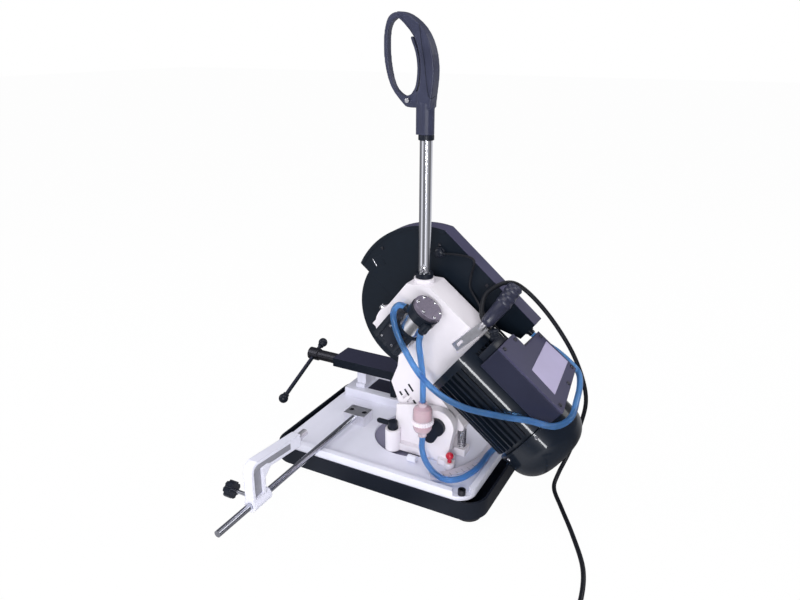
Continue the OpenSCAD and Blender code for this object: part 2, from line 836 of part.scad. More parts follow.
module gearbox_housing() {
    color("#f2f1f6")
        difference() {
            union() {
                in_head() {
                    translate([gear_x0, 0, 0])
                        rotate([90, 0, 90])
                            linear_extrude(gear_w)
                                gearbox_outline(0);
                    plate_x(gear_x0, gear_x1, [
                        [arm_root_u, gear_v0 + over],
                        arm_knee,
                        arm_toe,
                        arm_heel,
                        [0, -arm_hub_r],
                        [arm_hub_r, 0],
                        [arm_hub_r / 2, arm_hub_r],
                        [gear_u1, motor_v - motor_d / 2 - arm_motor_gap],
                        [gear_u1, gear_v0 + over]
                    ]);
                    bar_x(arm_hub_r, gear_x0, gear_x1);
                    translate([0, spindle_u, spindle_v])
                        bar_x(wheel_case_r, gear_x0, gear_x1);
                    translate([0, ear_u, ear_v])
                        bar_x(ear_r, tongue_x0, tongue_x1);
                    plate_x(tongue_x0, tongue_x1,
                        [[0, 0], [ear_u, ear_v - ear_r], [ear_u, ear_v + ear_r], [0, arm_hub_r]]);
                }
                translate([lever_x, lever_y, lever_pad_z])
                    bar_z(pad_boss_r, -gear_wall, pad_boss_h);
            }
            in_head() {
                translate([gear_x0 - over, 0, 0])
                    rotate([90, 0, 90])
                        linear_extrude(gear_w - gear_wall + over)
                            gearbox_outline(gear_wall);
                translate([0, spindle_u, spindle_v])
                    bar_x(wheel_case_r - gear_wall, gear_x0 - over, gear_x1 - gear_wall);
                bar_x(hinge_pin_d / 2 + running_fit, gear_x0 - over, gear_x1 + over);
                translate([motor_x, gear_u1, motor_v])
                    bar_y(flange_bore_r - gear_wall, -gear_wall - over, over);
                for (k = [0:arm_slots - 1])
                    translate([gear_x1, arm_heel[0] + k * arm_slot_pitch, arm_heel[1] / 2])
                        block([-arm_slot_depth, 0, -arm_slot_l / 2], [over, arm_slot_w, arm_slot_l / 2]);
            }
            translate([lever_x, lever_y, lever_pad_z])
                bar_z(lever_d / 2, -gear_wall - over, pad_boss_h + over);
        }
}

// Cover with the spindle nose that carries the guards
cover_t = 6;
nose_r = 26;
nose_shoulder_r = 36;
guard_x1 = -42;
guard_wall = 2.5;
nose_in_guard = 5;
nose_end_x = guard_x1 - guard_wall - nose_in_guard;
spindle_r = 12;
bearing_out_r = 21;
bearing_w = 12;
module gearbox_cover() {
    color("#e6e5ec")
        in_head()
            difference() {
                union() {
                    translate([gear_x0 - cover_t, 0, 0])
                        rotate([90, 0, 90])
                            linear_extrude(cover_t)
                                gearbox_outline(0);
                    translate([0, spindle_u, spindle_v]) {
                        bar_x(wheel_case_r, gear_x0 - cover_t, gear_x0);
                        bar_x(nose_shoulder_r, guard_x1, gear_x0);
                        bar_x(nose_r, nose_end_x, gear_x0);
                    }
                }
                translate([0, spindle_u, spindle_v]) {
                    bar_x(spindle_r + slide_gap, nose_end_x - over, gear_x0 + over);
                    bar_x(bearing_out_r, gear_x0 - bearing_w, gear_x0 + over);
                    bar_x(bearing_out_r, nose_end_x - over, nose_end_x + bearing_w);
                }
            }
}

// Motor: finned body, stator, fan cover, bearings, rotor with the worm, cooling fan
motor_r = motor_d / 2;
fin_h = 9;
fin_t = 2.6;
fins = 40;
shell_t = 8;
motor_end_t = 14;
motor_u0 = gear_u1;
motor_u1 = motor_u0 + motor_l;
shaft_r = 11;
motor_bearing_out_r = 22;
module at_motor() {
    in_head()
        translate([motor_x, 0, motor_v])
            children();
}
module motor_body() {
    core_r = motor_r - fin_h;
    color("#1d1e26")
        at_motor()
            difference() {
                union() {
                    bar_y(core_r, motor_u0, motor_u1);
                    bar_y(motor_r, motor_u0, motor_u0 + motor_end_t);
                    for (k = [0:fins - 1])
                        rotate([0, 360 * k / fins, 0])
                            block([core_r - over, motor_u0 + over, -fin_t / 2],
                                [motor_r, motor_u1 - motor_end_t / 2, fin_t / 2]);
                }
                bar_y(core_r - shell_t, motor_u0 + motor_end_t, motor_u1 - motor_end_t);
                block([-motor_r - over, motor_u0 - over, -motor_r],
                    [guard_x1 + slide_gap - motor_x, motor_u0 + motor_end_t, motor_r]);
                bar_y(shaft_r + slide_gap, motor_u0 - over, motor_u1 + over);
                bar_y(motor_bearing_out_r, motor_u0 + motor_end_t - bearing_w, motor_u0 + motor_end_t + over);
                bar_y(motor_bearing_out_r, motor_u1 - motor_end_t - over, motor_u1 - motor_end_t + bearing_w);
            }
}
rotor_r = 38;
air_gap = 1;
stator_margin = 24;
module stator() {
    outer_r = motor_r - fin_h - shell_t;
    color("#a5622c")
        at_motor()
            difference() {
                bar_y(outer_r, motor_u0 + motor_end_t + stator_margin,
                    motor_u1 - motor_end_t - stator_margin);
                bar_y(rotor_r + air_gap, motor_u0, motor_u1);
            }
}
cover_shell = 3;
cover_dome = 46;
grille_slots = 7;
grille_slot_w = 5;
grille_pitch = 11;
grille_r_share = 0.6;
module fan_cover() {
    end_u = motor_u1 + fan_cover_l;
    color("#20202a")
        at_motor()
            difference() {
                dome(motor_r, end_u, cover_dome);
                dome(motor_r - cover_shell, end_u - cover_shell, cover_dome - cover_shell);
                intersection() {
                    bar_y(motor_r * grille_r_share, motor_u1, end_u + over);
                    for (k = [0:grille_slots - 1])
                        translate([0, 0, (k - (grille_slots - 1) / 2) * grille_pitch])
                            block([-motor_r, end_u - 2 * cover_shell, -grille_slot_w / 2],
                                [motor_r, end_u + over, grille_slot_w / 2]);
                }
            }
}
module dome(r, end_u, round_r) {
    translate([0, motor_u1, 0])
        rotate([-90, 0, 0])
            rotate_extrude()
                union() {
                    square([r, end_u - motor_u1 - round_r]);
                    square([r - round_r, end_u - motor_u1]);
                    intersection() {
                        translate([r - round_r, end_u - motor_u1 - round_r])
                            circle(round_r);
                        square([r, end_u - motor_u1]);
                    }
                }
}
module bearing_ring(out_r, in_r, w) {
    difference() {
        cylinder(r = out_r, h = w);
        translate([0, 0, -over])
            cylinder(r = in_r, h = w + 2 * over);
    }
}
module bearings() {
    color("#9c9ba8") {
        at_motor() {
            translate([0, motor_u0 + motor_end_t - bearing_w, 0])
                rotate([-90, 0, 0])
                    bearing_ring(motor_bearing_out_r, shaft_r + running_fit, bearing_w);
            translate([0, motor_u1 - motor_end_t, 0])
                rotate([-90, 0, 0])
                    bearing_ring(motor_bearing_out_r, shaft_r + running_fit, bearing_w);
        }
        in_head()
            translate([0, spindle_u, spindle_v])
                for (x = [gear_x0 - bearing_w, nose_end_x])
                    translate([x, 0, 0])
                        rotate([0, 90, 0])
                            bearing_ring(bearing_out_r, spindle_r + running_fit, bearing_w);
    }
}
fan_gap = 12;
fan_u = motor_u1 + fan_gap;
fan_hub_r = 22;
fan_w = 24;
fan_blades = 8;
fan_blade_t = 3;
fan_tip_gap = 10;
module rotor_shaft() {
    color("#8d8c98")
        at_motor() {
            bar_y(shaft_r, gear_u1 - gear_wall, fan_u + fan_w);
            bar_y(rotor_r, motor_u0 + motor_end_t + stator_margin, motor_u1 - motor_end_t - stator_margin);
        }
}
worm_r = 9.5;
worm_core_r = 7;
worm_l = 56;
worm_tail = 12;
worm_threads = 8;
worm_rings = 10;
wheel_gap = 0.6;
worm_thread_r = 2;
module worm() {
    u1 = gear_u1 - gear_wall;
    mid = spindle_u;
    u0 = mid - worm_l / 2;
    n = worm_threads * worm_rings;
    path = [for (i = [0:n]) let (a = 360 * i / worm_rings)
        [(worm_r - worm_thread_r) * cos(a), u0 + worm_l * i / n, (worm_r - worm_thread_r) * sin(a)]];
    color("#b0afba")
        at_motor() {
            bar_y(worm_core_r, max(u0 - worm_tail, gear_u0 + gear_wall + seat_gap), u1);
            tube(path, worm_thread_r, thread_sides, [1, 0, 0]);
        }
}
module cooling_fan() {
    tip_r = motor_r - cover_shell - fan_tip_gap;
    color("#3b3b46")
        at_motor()
            difference() {
                union() {
                    bar_y(fan_hub_r, fan_u, fan_u + fan_w);
                    for (k = [0:fan_blades - 1])
                        rotate([0, 360 * k / fan_blades, 0])
                            block([fan_hub_r - over, fan_u, -fan_blade_t / 2],
                                [tip_r, fan_u + fan_w, fan_blade_t / 2]);
                }
                bar_y(shaft_r, fan_u - over, fan_u + fan_w + over);
            }
}

// Drive: worm wheel, spindle, blade with its clamp bolt
wheel_w = 24;
tooth_h = 3.4;
tooth_turn_shares = [0, 0.3, 0.42, 0.68, 0.8];
tooth_rise_shares = [0, 0, 1, 1, 0];
module worm_wheel() {
    tip_r = motor_v - spindle_v - worm_r - wheel_gap;
    root_r = tip_r - tooth_h;
    color("#b08a3c")
        in_head()
            translate([motor_x - wheel_w / 2, spindle_u, spindle_v])
                rotate([90, 0, 90])
                    linear_extrude(wheel_w)
                        difference() {
                            polygon([for (k = [0:wheel_teeth - 1]) let (step = 360 / wheel_teeth)
                                each [for (i = [0:len(tooth_turn_shares) - 1])
                                    let (a = (k + tooth_turn_shares[i]) * step)
                                    (root_r + tooth_h * tooth_rise_shares[i]) * [cos(a), sin(a)]]]);
                            circle(spindle_r);
                        }
}
flange_r = 38;
flange_t = 7;
pilot_r = 16;
spindle_end_gap = 4;
module spindle() {
    blade_x1 = blade_x + blade_t / 2;
    color("#b9b8c2")
        in_head()
            translate([0, spindle_u, spindle_v]) {
                bar_x(spindle_r, blade_x1, gear_x1 - gear_wall - spindle_end_gap);
                bar_x(flange_r, blade_x1, blade_x1 + flange_t);
                bar_x(pilot_r, blade_x - blade_t / 2, blade_x1 + over);
            }
}
saw_tooth_h = 3;
gullet_share = 0.35;
module blade() {
    tip_r = blade_d / 2;
    step = 360 / blade_teeth;
    color("#8f9099")
        in_head()
            translate([blade_x - blade_t / 2, spindle_u, spindle_v])
                rotate([90, 0, 90])
                    linear_extrude(blade_t)
                        difference() {
                            polygon([for (k = [0:blade_teeth - 1])
                                let (a = k * step, b = (k + gullet_share) * step)
                                each [tip_r * [cos(a), sin(a)], (tip_r - saw_tooth_h) * [cos(b), sin(b)]]]);
                            circle(pilot_r);
                        }
}
clamp_flange_t = 5;
bolt_hex_r = 11;
bolt_hex_h = 5;
module blade_bolt() {
    x1 = blade_x - blade_t / 2;
    color("#6d6d78")
        in_head()
            translate([0, spindle_u, spindle_v]) {
                bar_x(flange_r, x1 - clamp_flange_t, x1);
                translate([x1 - clamp_flange_t - bolt_hex_h, 0, 0])
                    rotate([0, 90, 0])
                        cylinder(r = bolt_hex_r, h = bolt_hex_h + over, $fn = 6);
            }
}

// Guards: a sheet-metal box fixed to the nose, and a round guard that turns inside it
guard_w = 34.5;
guard_x0 = guard_x1 - guard_w;
guard_r = blade_d / 2 + guard_room;
arc_room = 36;
arc_cu = 11;
arc_cv = 21;
arc_r = guard_r + arc_room;
arc_a0 = 116;
arc_a1 = 192;
guard_top_v = 162;
guard_rear_u = 175;
guard_rear_v = 121;
guard_skirt_u = 118;
guard_skirt_v = -15;
guard_motor_gap = 4;
guard_tail_v = motor_v + sqrt(pow(motor_r, 2) - pow(motor_x - guard_x1, 2)) + guard_motor_gap;
arc_steps = 18;
function guard_outline(inset, out) = concat(
    [for (k = [0:arc_steps]) let (a = arc_a0 + (arc_a1 - arc_a0) * k / arc_steps)
        [spindle_u + arc_cu, spindle_v + arc_cv] + (arc_r - inset) * [cos(a), sin(a)]],
    [
        [spindle_u + arc_cu + (arc_r - inset) * cos(arc_a1), spindle_v + guard_skirt_v - out],
        [spindle_u + guard_skirt_u + out, spindle_v + guard_skirt_v - out],
        [spindle_u + guard_skirt_u + out, guard_tail_v - out],
        [spindle_u + guard_rear_u - inset, spindle_v + guard_rear_v - out],
        [spindle_u + guard_rear_u - inset, spindle_v + guard_top_v - inset]
    ]);
module upper_guard() {
    color("#262632")
        in_head()
            difference() {
                plate_x(guard_x0, guard_x1, guard_outline(0, 0));
                plate_x(guard_x0 + guard_wall, guard_x1 - guard_wall, guard_outline(guard_wall, over));
                translate([0, spindle_u, spindle_v])
                    bar_x(nose_r + running_fit, guard_x1 - guard_wall - over, guard_x1 + over);
            }
}
lower_start_angle = 176;
lower_angle = 170;
lower_wall = 2;
lower_rim = 3;
lower_hub_r = 42;
lower_hub_t = 4;
lower_far_r = 82;
module lower_guard() {
    x1 = guard_x1 - guard_wall - slide_gap;
    x0 = guard_x0 + guard_wall + slide_gap;
    color("#2a2c3a")
        in_head()
            translate([0, spindle_u, spindle_v])
                rotate([90, 0, 90]) {
                    rotate([0, 0, lower_start_angle])
                        rotate_extrude(angle = lower_angle)
                            polygon([
                                [(nose_r + lower_hub_r) / 2, x1 - lower_wall],
                                [(nose_r + lower_hub_r) / 2, x1],
                                [guard_r, x1],
                                [guard_r, x0],
                                [lower_far_r, x0],
                                [lower_far_r, x0 + lower_wall],
                                [guard_r - lower_rim, x0 + lower_wall],
                                [guard_r - lower_rim, x1 - lower_wall]
                            ]);
                    translate([0, 0, x1 - slide_gap - lower_hub_t])
                        bearing_ring(lower_hub_r, nose_r + running_fit, lower_hub_t);
                }
}

// Lever, collar and grip, upright while the head is raised
lever_z1 = lever_pad_z + lever_l;
lever_in_grip = 40;
module at_lever() {
    translate([lever_x, lever_y, 0])
        children();
}
module lever_rod() {
    color("#c9c8d2")
        at_lever()
            bar_z(lever_d / 2, lever_pad_z - gear_wall, lever_z1 + lever_in_grip);
}
collar_r = 16;
collar_h = 9;
module lever_collar() {
    color("#1f1f26")
        at_lever()
            difference() {
                bar_z(collar_r, lever_pad_z + pad_boss_h, lever_pad_z + pad_boss_h + collar_h);
                bar_z(lever_d / 2, lever_pad_z, lever_pad_z + pad_boss_h + collar_h + over);
            }
}
bow_t = 14;
handle_t = 24;
stem_r = 13.5;
stem_share = 0.28;
stem_t = 23;
stem_front = 14.5;
stem_back = 9;
stem_lip = 6;
bow_y_shares = [-0.1, -0.3, -0.4, -0.62, -0.73, -0.74, -0.69, -0.62, -0.5, -0.3, -0.1];
bow_z_shares = [0.24, 0.24, 0.27, 0.41, 0.61, 0.81, 0.93, 0.98, 1, 0.98, 0.9];
loop_y_shares = [-0.06, -0.3, -0.42, -0.57, -0.66, -0.67, -0.63, -0.56, -0.46, -0.2, -0.06];
loop_z_shares = [0.4, 0.34, 0.34, 0.42, 0.61, 0.81, 0.9, 0.94, 0.945, 0.8, 0.6];
spine_y_shares = [-0.12, -0.125, -0.085, -0.068, -0.1, -0.175, -0.33,
    -0.5, -0.3, -0.05, 0.11, 0.17, 0.13, 0.12];
spine_z_shares = [0.24, 0.36, 0.43, 0.56, 0.687, 0.8, 0.92,
    1, 0.98, 0.88, 0.73, 0.54, 0.31, 0.24];
function grip_outline(ys, zs) =
    smooth([for (i = [0:len(ys) - 1]) [grip_w * ys[i], lever_z1 + grip_h * zs[i]]], route_steps);
trigger_y_share = -0.29;
trigger_z_share = 0.298;
trigger_y = grip_w * trigger_y_share;
trigger_z = lever_z1 + grip_h * trigger_z_share;
trigger_pin_r = 2.5;
trigger_w = 8;
trigger_eye_r = 5;
trigger_ear_r = 7;
trigger_y_shares = [-0.327, -0.236, -0.178, -0.154, -0.19, -0.27,
    -0.235, -0.151, -0.115, -0.14, -0.192, -0.27];
trigger_z_shares = [0.308, 0.366, 0.429, 0.561, 0.687, 0.793,
    0.798, 0.687, 0.561, 0.429, 0.354, 0.283];
module grip() {
    color("#23232b")
        at_lever()
            difference() {
                union() {
                    difference() {
                        plate_x(-bow_t / 2, bow_t / 2, grip_outline(bow_y_shares, bow_z_shares));
                        plate_x(-bow_t, bow_t, grip_outline(loop_y_shares, loop_z_shares));
                    }
                    plate_x(-handle_t / 2, handle_t / 2, grip_outline(spine_y_shares, spine_z_shares));
                    bar_z(stem_r, lever_z1 - stem_lip, lever_z1 + stem_share * grip_h);
                    block([-stem_t / 2, -stem_front, lever_z1],
                        [stem_t / 2, stem_back, lever_z1 + stem_share * grip_h]);
                    translate([0, trigger_y, trigger_z])
                        bar_x(trigger_ear_r, -bow_t / 2, bow_t / 2);
                }
                bar_z(lever_d / 2, lever_z1 - stem_lip - over, lever_z1 + lever_in_grip);
                translate([0, trigger_y, trigger_z]) {
                    bar_x(trigger_pin_r + running_fit, -bow_t, bow_t);
                    bar_x(trigger_eye_r + slide_gap, -trigger_w / 2 - slide_gap, trigger_w / 2 + slide_gap);
                    block([-trigger_w / 2 - slide_gap, -trigger_ear_r, 0],
                        [trigger_w / 2 + slide_gap, 3 * trigger_ear_r, 3 * trigger_ear_r]);
                }
            }
}
module trigger() {
    color("#2f2f3a")
        at_lever() {
            translate([0, trigger_y, trigger_z])
                bar_x(trigger_pin_r, -bow_t / 2, bow_t / 2);
            translate([0, trigger_y, trigger_z])
                bar_x(trigger_eye_r, -trigger_w / 2, trigger_w / 2);
            plate_x(-trigger_w / 2, trigger_w / 2, grip_outline(trigger_y_shares, trigger_z_shares));
        }
}

// Switch cable from its grommet on the guard to the terminal box, in the head's frame
switch_cable_r = 2;
switch_route = [[-34, -219, 211], [-34, -194, 233], [-34, -169, 246], [-33, -154, 222], [-30, -140, 203],
    [-20, -114, 199], [-2, -80, 200], [8, -40, 204], [12, 4, 206]];
grommet_u = -226;
grommet_v = 205;
grommet_r = 7;
grommet_l = 12;
module switch_cable() {
    color("#26262e")
        in_head() {
            tube(smooth(switch_route, route_steps), switch_cable_r, cord_sides, [1, 0, 0]);
            translate([0, grommet_u, grommet_v])
                bar_x(grommet_r, guard_x1, guard_x1 + grommet_l);
        }
}

// Rear handle: a slotted strip on the gearbox's near face, bent over into a rubber grip
handle_route = [[48.5, -71, 204], [48, -71, 216], [38, -72, 234], [20, -74, 253], [2, -78, 271],
    [-8, -81, 282]];
handle_bar_r = 6;
handle_grip_r = 12.5;
handle_grip_from = 3;
strip_t = 5;
strip_u = -88;
strip_v = 140;
strip_l = 72;
strip_foot_w = 15;
strip_head_w = 18;
strip_lean = 12;
strip_skew = 3;
strip_slot_u = 9;
strip_slot_v = 14;
strip_slot_l = 14;
strip_slot_w = 6;
module rear_handle_bar() {
    foot_u = strip_u + strip_foot_w;
    color("#c9c8d2")
        in_head() {
            difference() {
                plate_x(gear_x1, gear_x1 + strip_t, [
                    [strip_u, strip_v],
                    [foot_u, strip_v - strip_skew],
                    [foot_u + strip_lean, strip_v + strip_l],
                    [foot_u + strip_lean - strip_head_w, strip_v + strip_l]
                ]);
                translate([0, strip_u + strip_slot_u, strip_v + strip_slot_v])
                    block([gear_x1 - over, -strip_slot_w / 2, -strip_slot_l / 2],
                        [gear_x1 + strip_t + over, strip_slot_w / 2, strip_slot_l / 2]);
            }
            tube(smooth(handle_route, route_steps), handle_bar_r, bar_sides, [1, 0, 0]);
        }
}
module rear_handle_grip() {
    path = smooth(handle_route, route_steps);
    color("#2a2a36")
        in_head()
            difference() {
                tube([for (i = [handle_grip_from:len(path) - 1]) path[i]], handle_grip_r, bar_sides,
                    [1, 0, 0]);
                tube(path, handle_bar_r, bar_sides, [1, 0, 0]);
            }
}

// Terminal box on the motor, its lid and glands
box_u0 = -26;
box_u1 = 121;
box_x0 = -50;
box_x1 = 92;
box_seat = 58;
box_v0 = motor_v + box_seat;
box_v1 = 224;
lid_t = 4;
box_notch_u = 4;
box_notch_x = 24;
box_far_u = 98;
box_wall = 3;
gland_r = 9;
gland_l = 24;
gland_x = 34;
gland_v = 206;
function box_outline(inset) = [
    [box_x1 - inset, box_u0 + inset],
    [box_x1 - inset, box_u1 - inset],
    [box_x0 + inset, box_far_u - inset],
    [box_x0 + inset, box_notch_u + inset],
    [box_notch_x + inset, box_notch_u + inset],
    [box_notch_x + inset, box_u0 + inset]
];
module terminal_box() {
    color("#22222c")
        in_head()
            difference() {
                translate([0, 0, box_v0])
                    linear_extrude(box_v1 - box_v0)
                        polygon(box_outline(0));
                translate([0, 0, motor_v + motor_r + box_wall])
                    linear_extrude(box_v1 - box_v0)
                        polygon(box_outline(box_wall));
                translate([motor_x, 0, motor_v])
                    bar_y(motor_r + running_fit, motor_u0, motor_u1 + over);
            }
}
module terminal_lid() {
    color("#3d3d50")
        in_head()
            translate([0, 0, box_v1])
                linear_extrude(lid_t)
                    polygon(box_outline(0));
}
module cable_glands() {
    color("#1b1b22")
        in_head()
            translate([gland_x, 0, gland_v])
                bar_y(gland_r, box_u0 - gland_l, box_u0);
}

// Coolant pump on the gearbox: drive box, head and cover
pump_x = 88;
pump_u = -158;
pump_box_u0 = -202;
pump_box_u1 = -140;
pump_box_v0 = 66;
pump_box_v1 = 120;
pump_box_x1 = 97;
band_r = 23.5;
band_top_v = 158;
pump_head_r = 28.5;
pump_head_top_v = 175;
pump_port_x = 22;
pump_port_u = 21;
pump_port_r = 8;
pump_port_h = 14;
pump_cover_r = 27.5;
pump_cover_t = 8;
pump_screws = 6;
pump_screw_r = 3;
pump_screw_h = 1.5;
pump_screw_inset = 5;
module pump_motor() {
    color("#1d1e26")
        in_head()
            block([gear_x1, pump_box_u0, pump_box_v0], [pump_box_x1, pump_box_u1, pump_box_v1]);
}
module pump_head() {
    color("#25262f")
        in_head()
            translate([pump_x, pump_u, 0]) {
                bar_z(band_r, pump_box_v1, band_top_v);
                bar_z(pump_head_r, band_top_v, pump_head_top_v);
                translate([pump_port_x, pump_port_u, 0])
                    bar_z(pump_port_r, band_top_v, band_top_v + pump_port_h);
            }
}
module pump_cover() {
    color("#a3a2ae")
        in_head()
            translate([pump_x, pump_u, 0]) {
                bar_z(pump_cover_r, pump_head_top_v, pump_head_top_v + pump_cover_t);
                for (k = [0:pump_screws - 1])
                    rotate([0, 0, 360 * k / pump_screws])
                        translate([pump_cover_r - pump_screw_inset, 0, 0])
                            bar_z(pump_screw_r, pump_head_top_v,
                                pump_head_top_v + pump_cover_t + pump_screw_h);
            }
}

// Coolant hoses and filter
delivery_route = [[88, -182, 150], [88, -190, 150], [96, -200, 146], [109, -195, 136], [117, -170, 120],
    [119, -130, 104], [118, -84, 91], [116, -36, 92], [114, 10, 111], [113, 58, 150], [112, 92, 182],
    [106, 126, 206], [72, 138, 220], [24, 129, 226], [-20, 120, 226], [-58, 106, 222], [-69, 80, 218],
    [-70, 52, 215], [-63, 22, 211], [-60, 2, 210], [-60, -8, 210]];
module delivery_hose() {
    color("#4d86cf")
        in_head()
            tube(led(delivery_route, route_steps), hose_d / 2, hose_sides, [0, 0, 1]);
}
suction_upper_route = [head_point(110, -137, 158), head_point(110, -137, 151), [109, 69, 302], [103, 70, 268],
    [97, 72, 228], [97, 72, 182]];
module suction_hose_upper() {
    color("#4d86cf")
        tube(led(suction_upper_route, route_steps), hose_d / 2, hose_sides, [1, 0, 0]);
}
suction_lower_route = [[97, 72, 112], [97, 72, 104], [98, 72, 86], [105, 82, 68], [124, 108, 62],
    [135, 138, 62], [116, 162, 62], [72, 175, 63], [20, 178, 66], [-10, 190, 68], [-24, 200, 62],
    [-28, 201, 40], [-28, 201, 16]];
module suction_hose_lower() {
    color("#3f78c2")
        tube(led(suction_lower_route, route_steps), hose_d / 2, hose_sides, [1, 0, 0]);
}
filter_z0 = suction_lower_route[0][2];
filter_z1 = suction_upper_route[len(suction_upper_route) - 1][2];
filter_r = 18;
filter_cap_r = 20.5;
filter_cap_h = 8;
filter_neck_r = 8;
filter_neck_l = 9;
module coolant_filter() {
    color("#f0dfe6")
        translate([suction_lower_route[0][0], suction_lower_route[0][1], 0]) {
            bar_z(filter_neck_r, filter_z0, filter_z1);
            bar_z(filter_r, filter_z0 + filter_neck_l, filter_z1 - filter_neck_l);
            translate([0, 0, (filter_z0 + filter_z1) / 2 - filter_cap_h])
                cylinder(r = filter_cap_r, h = filter_cap_h);
        }
}

// Mains cord: free run from the gland down to the floor, then the coil that is put away
cord_r = cord_d / 2;
cord_lift = 1;
cord_z = cord_r + cord_lift;
cord_lead = 8;
cord_route = [head_point(gland_x, box_u0 - gland_l, gland_v),
    head_point(gland_x, box_u0 - gland_l - cord_lead, gland_v), [32, 160, 328], [22, 148, 342],
    [-8, 144, 368], [-34, 172, 386], [-46, 203, 374], [-62, 250, 322], [-76, 296, 248], [-82, 322, 172],
    [-86, 316, 104], [-78, 302, 46], [-48, 292, 12], [-10, 296, cord_z], [40, 324, cord_z],
    [104, 362, cord_z], [176, 398, cord_z], [246, 412, cord_z], [300, 410, cord_z], [342, 410, cord_z]];
coil_c = [350, 470];
coil_r = 60;
coil_step = 10;
coil_layer = 8.8;
coil_rings = 24;
coil_lead = 8;
plug_lead = 31;
module mains_cord() {
    color("#1c1c22")
        tube(led(cord_route, route_steps + 1), cord_r, cord_sides, [1, 0, 0]);
}
function coil_path() = let (
        n = coil_turns * coil_rings,
        half = coil_rings / 2,
        r1 = coil_r - coil_step * coil_turns)
    concat(
        [[coil_c[0] - coil_lead, coil_c[1] - coil_r, cord_z]],
        [for (i = [0:2 * n + half]) let (
            a = 270 + 360 * i / coil_rings,
            r = i <= n ? coil_r - coil_step * i / coil_rings
                : i <= n + half ? r1 : r1 + coil_step * (i - n - half) / coil_rings,
            z = cord_z + coil_layer * min(max((i - n) / half, 0), 1))
            [coil_c[0] + r * cos(a), coil_c[1] + r * sin(a), z]],
        [[coil_c[0] - plug_lead, coil_c[1] + coil_r, cord_z + coil_layer]]);
module cord_coil() {
    path = coil_path();
    echo(cord_coil_gap = self_gap(path, cord_r, coil_rings / 2));
    color("#1c1c22")
        tube(path, cord_r, coil_sides, [0, 0, 1]);
}
tie_w = 10;
tie_t = 1.5;
tie_gap = 0.5;
module cord_tie() {
    r0 = coil_r - coil_step * coil_turns - cord_r - tie_gap;
    r1 = coil_r + cord_r + tie_gap;
    top = cord_z + cord_r + coil_layer + tie_gap;
    color("#3a3a44")
        translate([coil_c[0], coil_c[1], 0])
            difference() {
                block([r0 - tie_t, -tie_w / 2, 0], [r1 + tie_t, tie_w / 2, top + tie_t]);
                block([r0, -tie_w, -over], [r1, tie_w, top]);
            }
}
plug_l = 46;
plug_w = 34;
plug_h = 26;
plug_pin_r = 2.4;
plug_pin_l = 19;
plug_pin_gap = 19;
plug_relief_l = 18;
plug_relief_r = 6;
module cord_plug() {
    z = cord_z + coil_layer;
    color("#202026")
        translate([coil_c[0] - plug_lead, coil_c[1] + coil_r, 0]) {
            translate([0, 0, z])
                bar_x(plug_relief_r, -plug_relief_l, 0);
            block([-plug_relief_l - plug_l, -plug_w / 2, z - plug_h / 2],
                [-plug_relief_l, plug_w / 2, z + plug_h / 2]);
            for (sy = [-1, 1])
                translate([0, sy * plug_pin_gap / 2, z])
                    bar_x(plug_pin_r, -plug_relief_l - plug_l - plug_pin_l, over - plug_relief_l - plug_l);
        }
}

coolant_tank();
rubber_feet();
base_casting();
base_bolts();
mitre_scale();
fixed_jaw();
vise_nut();
stop_block();
stop_block_screws();
stop_rod();
mains_cord();
cord_coil();
cord_tie();
cord_plug();
suction_hose_lower();
vise_arm();
vise_screw();
vise_bar();
vise_bar_balls();
stop_arm();
stop_pin();
stop_knob();
turntable_disc();
swivel_bracket();
hinge_pin();
hinge_cap();
return_spring();
clamp_lever();
index_pin();
gearbox_housing();
gearbox_cover();
motor_body();
stator();
fan_cover();
terminal_box();
terminal_lid();
cable_glands();
bearings();
rotor_shaft();
worm();
cooling_fan();
worm_wheel();
spindle();
blade();
blade_bolt();
upper_guard();
lower_guard();
lever_rod();
lever_collar();
grip();
trigger();
switch_cable();
rear_handle_bar();
rear_handle_grip();
pump_motor();
pump_head();
pump_cover();
delivery_hose();
suction_hose_upper();
coolant_filter();
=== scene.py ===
import json
import math

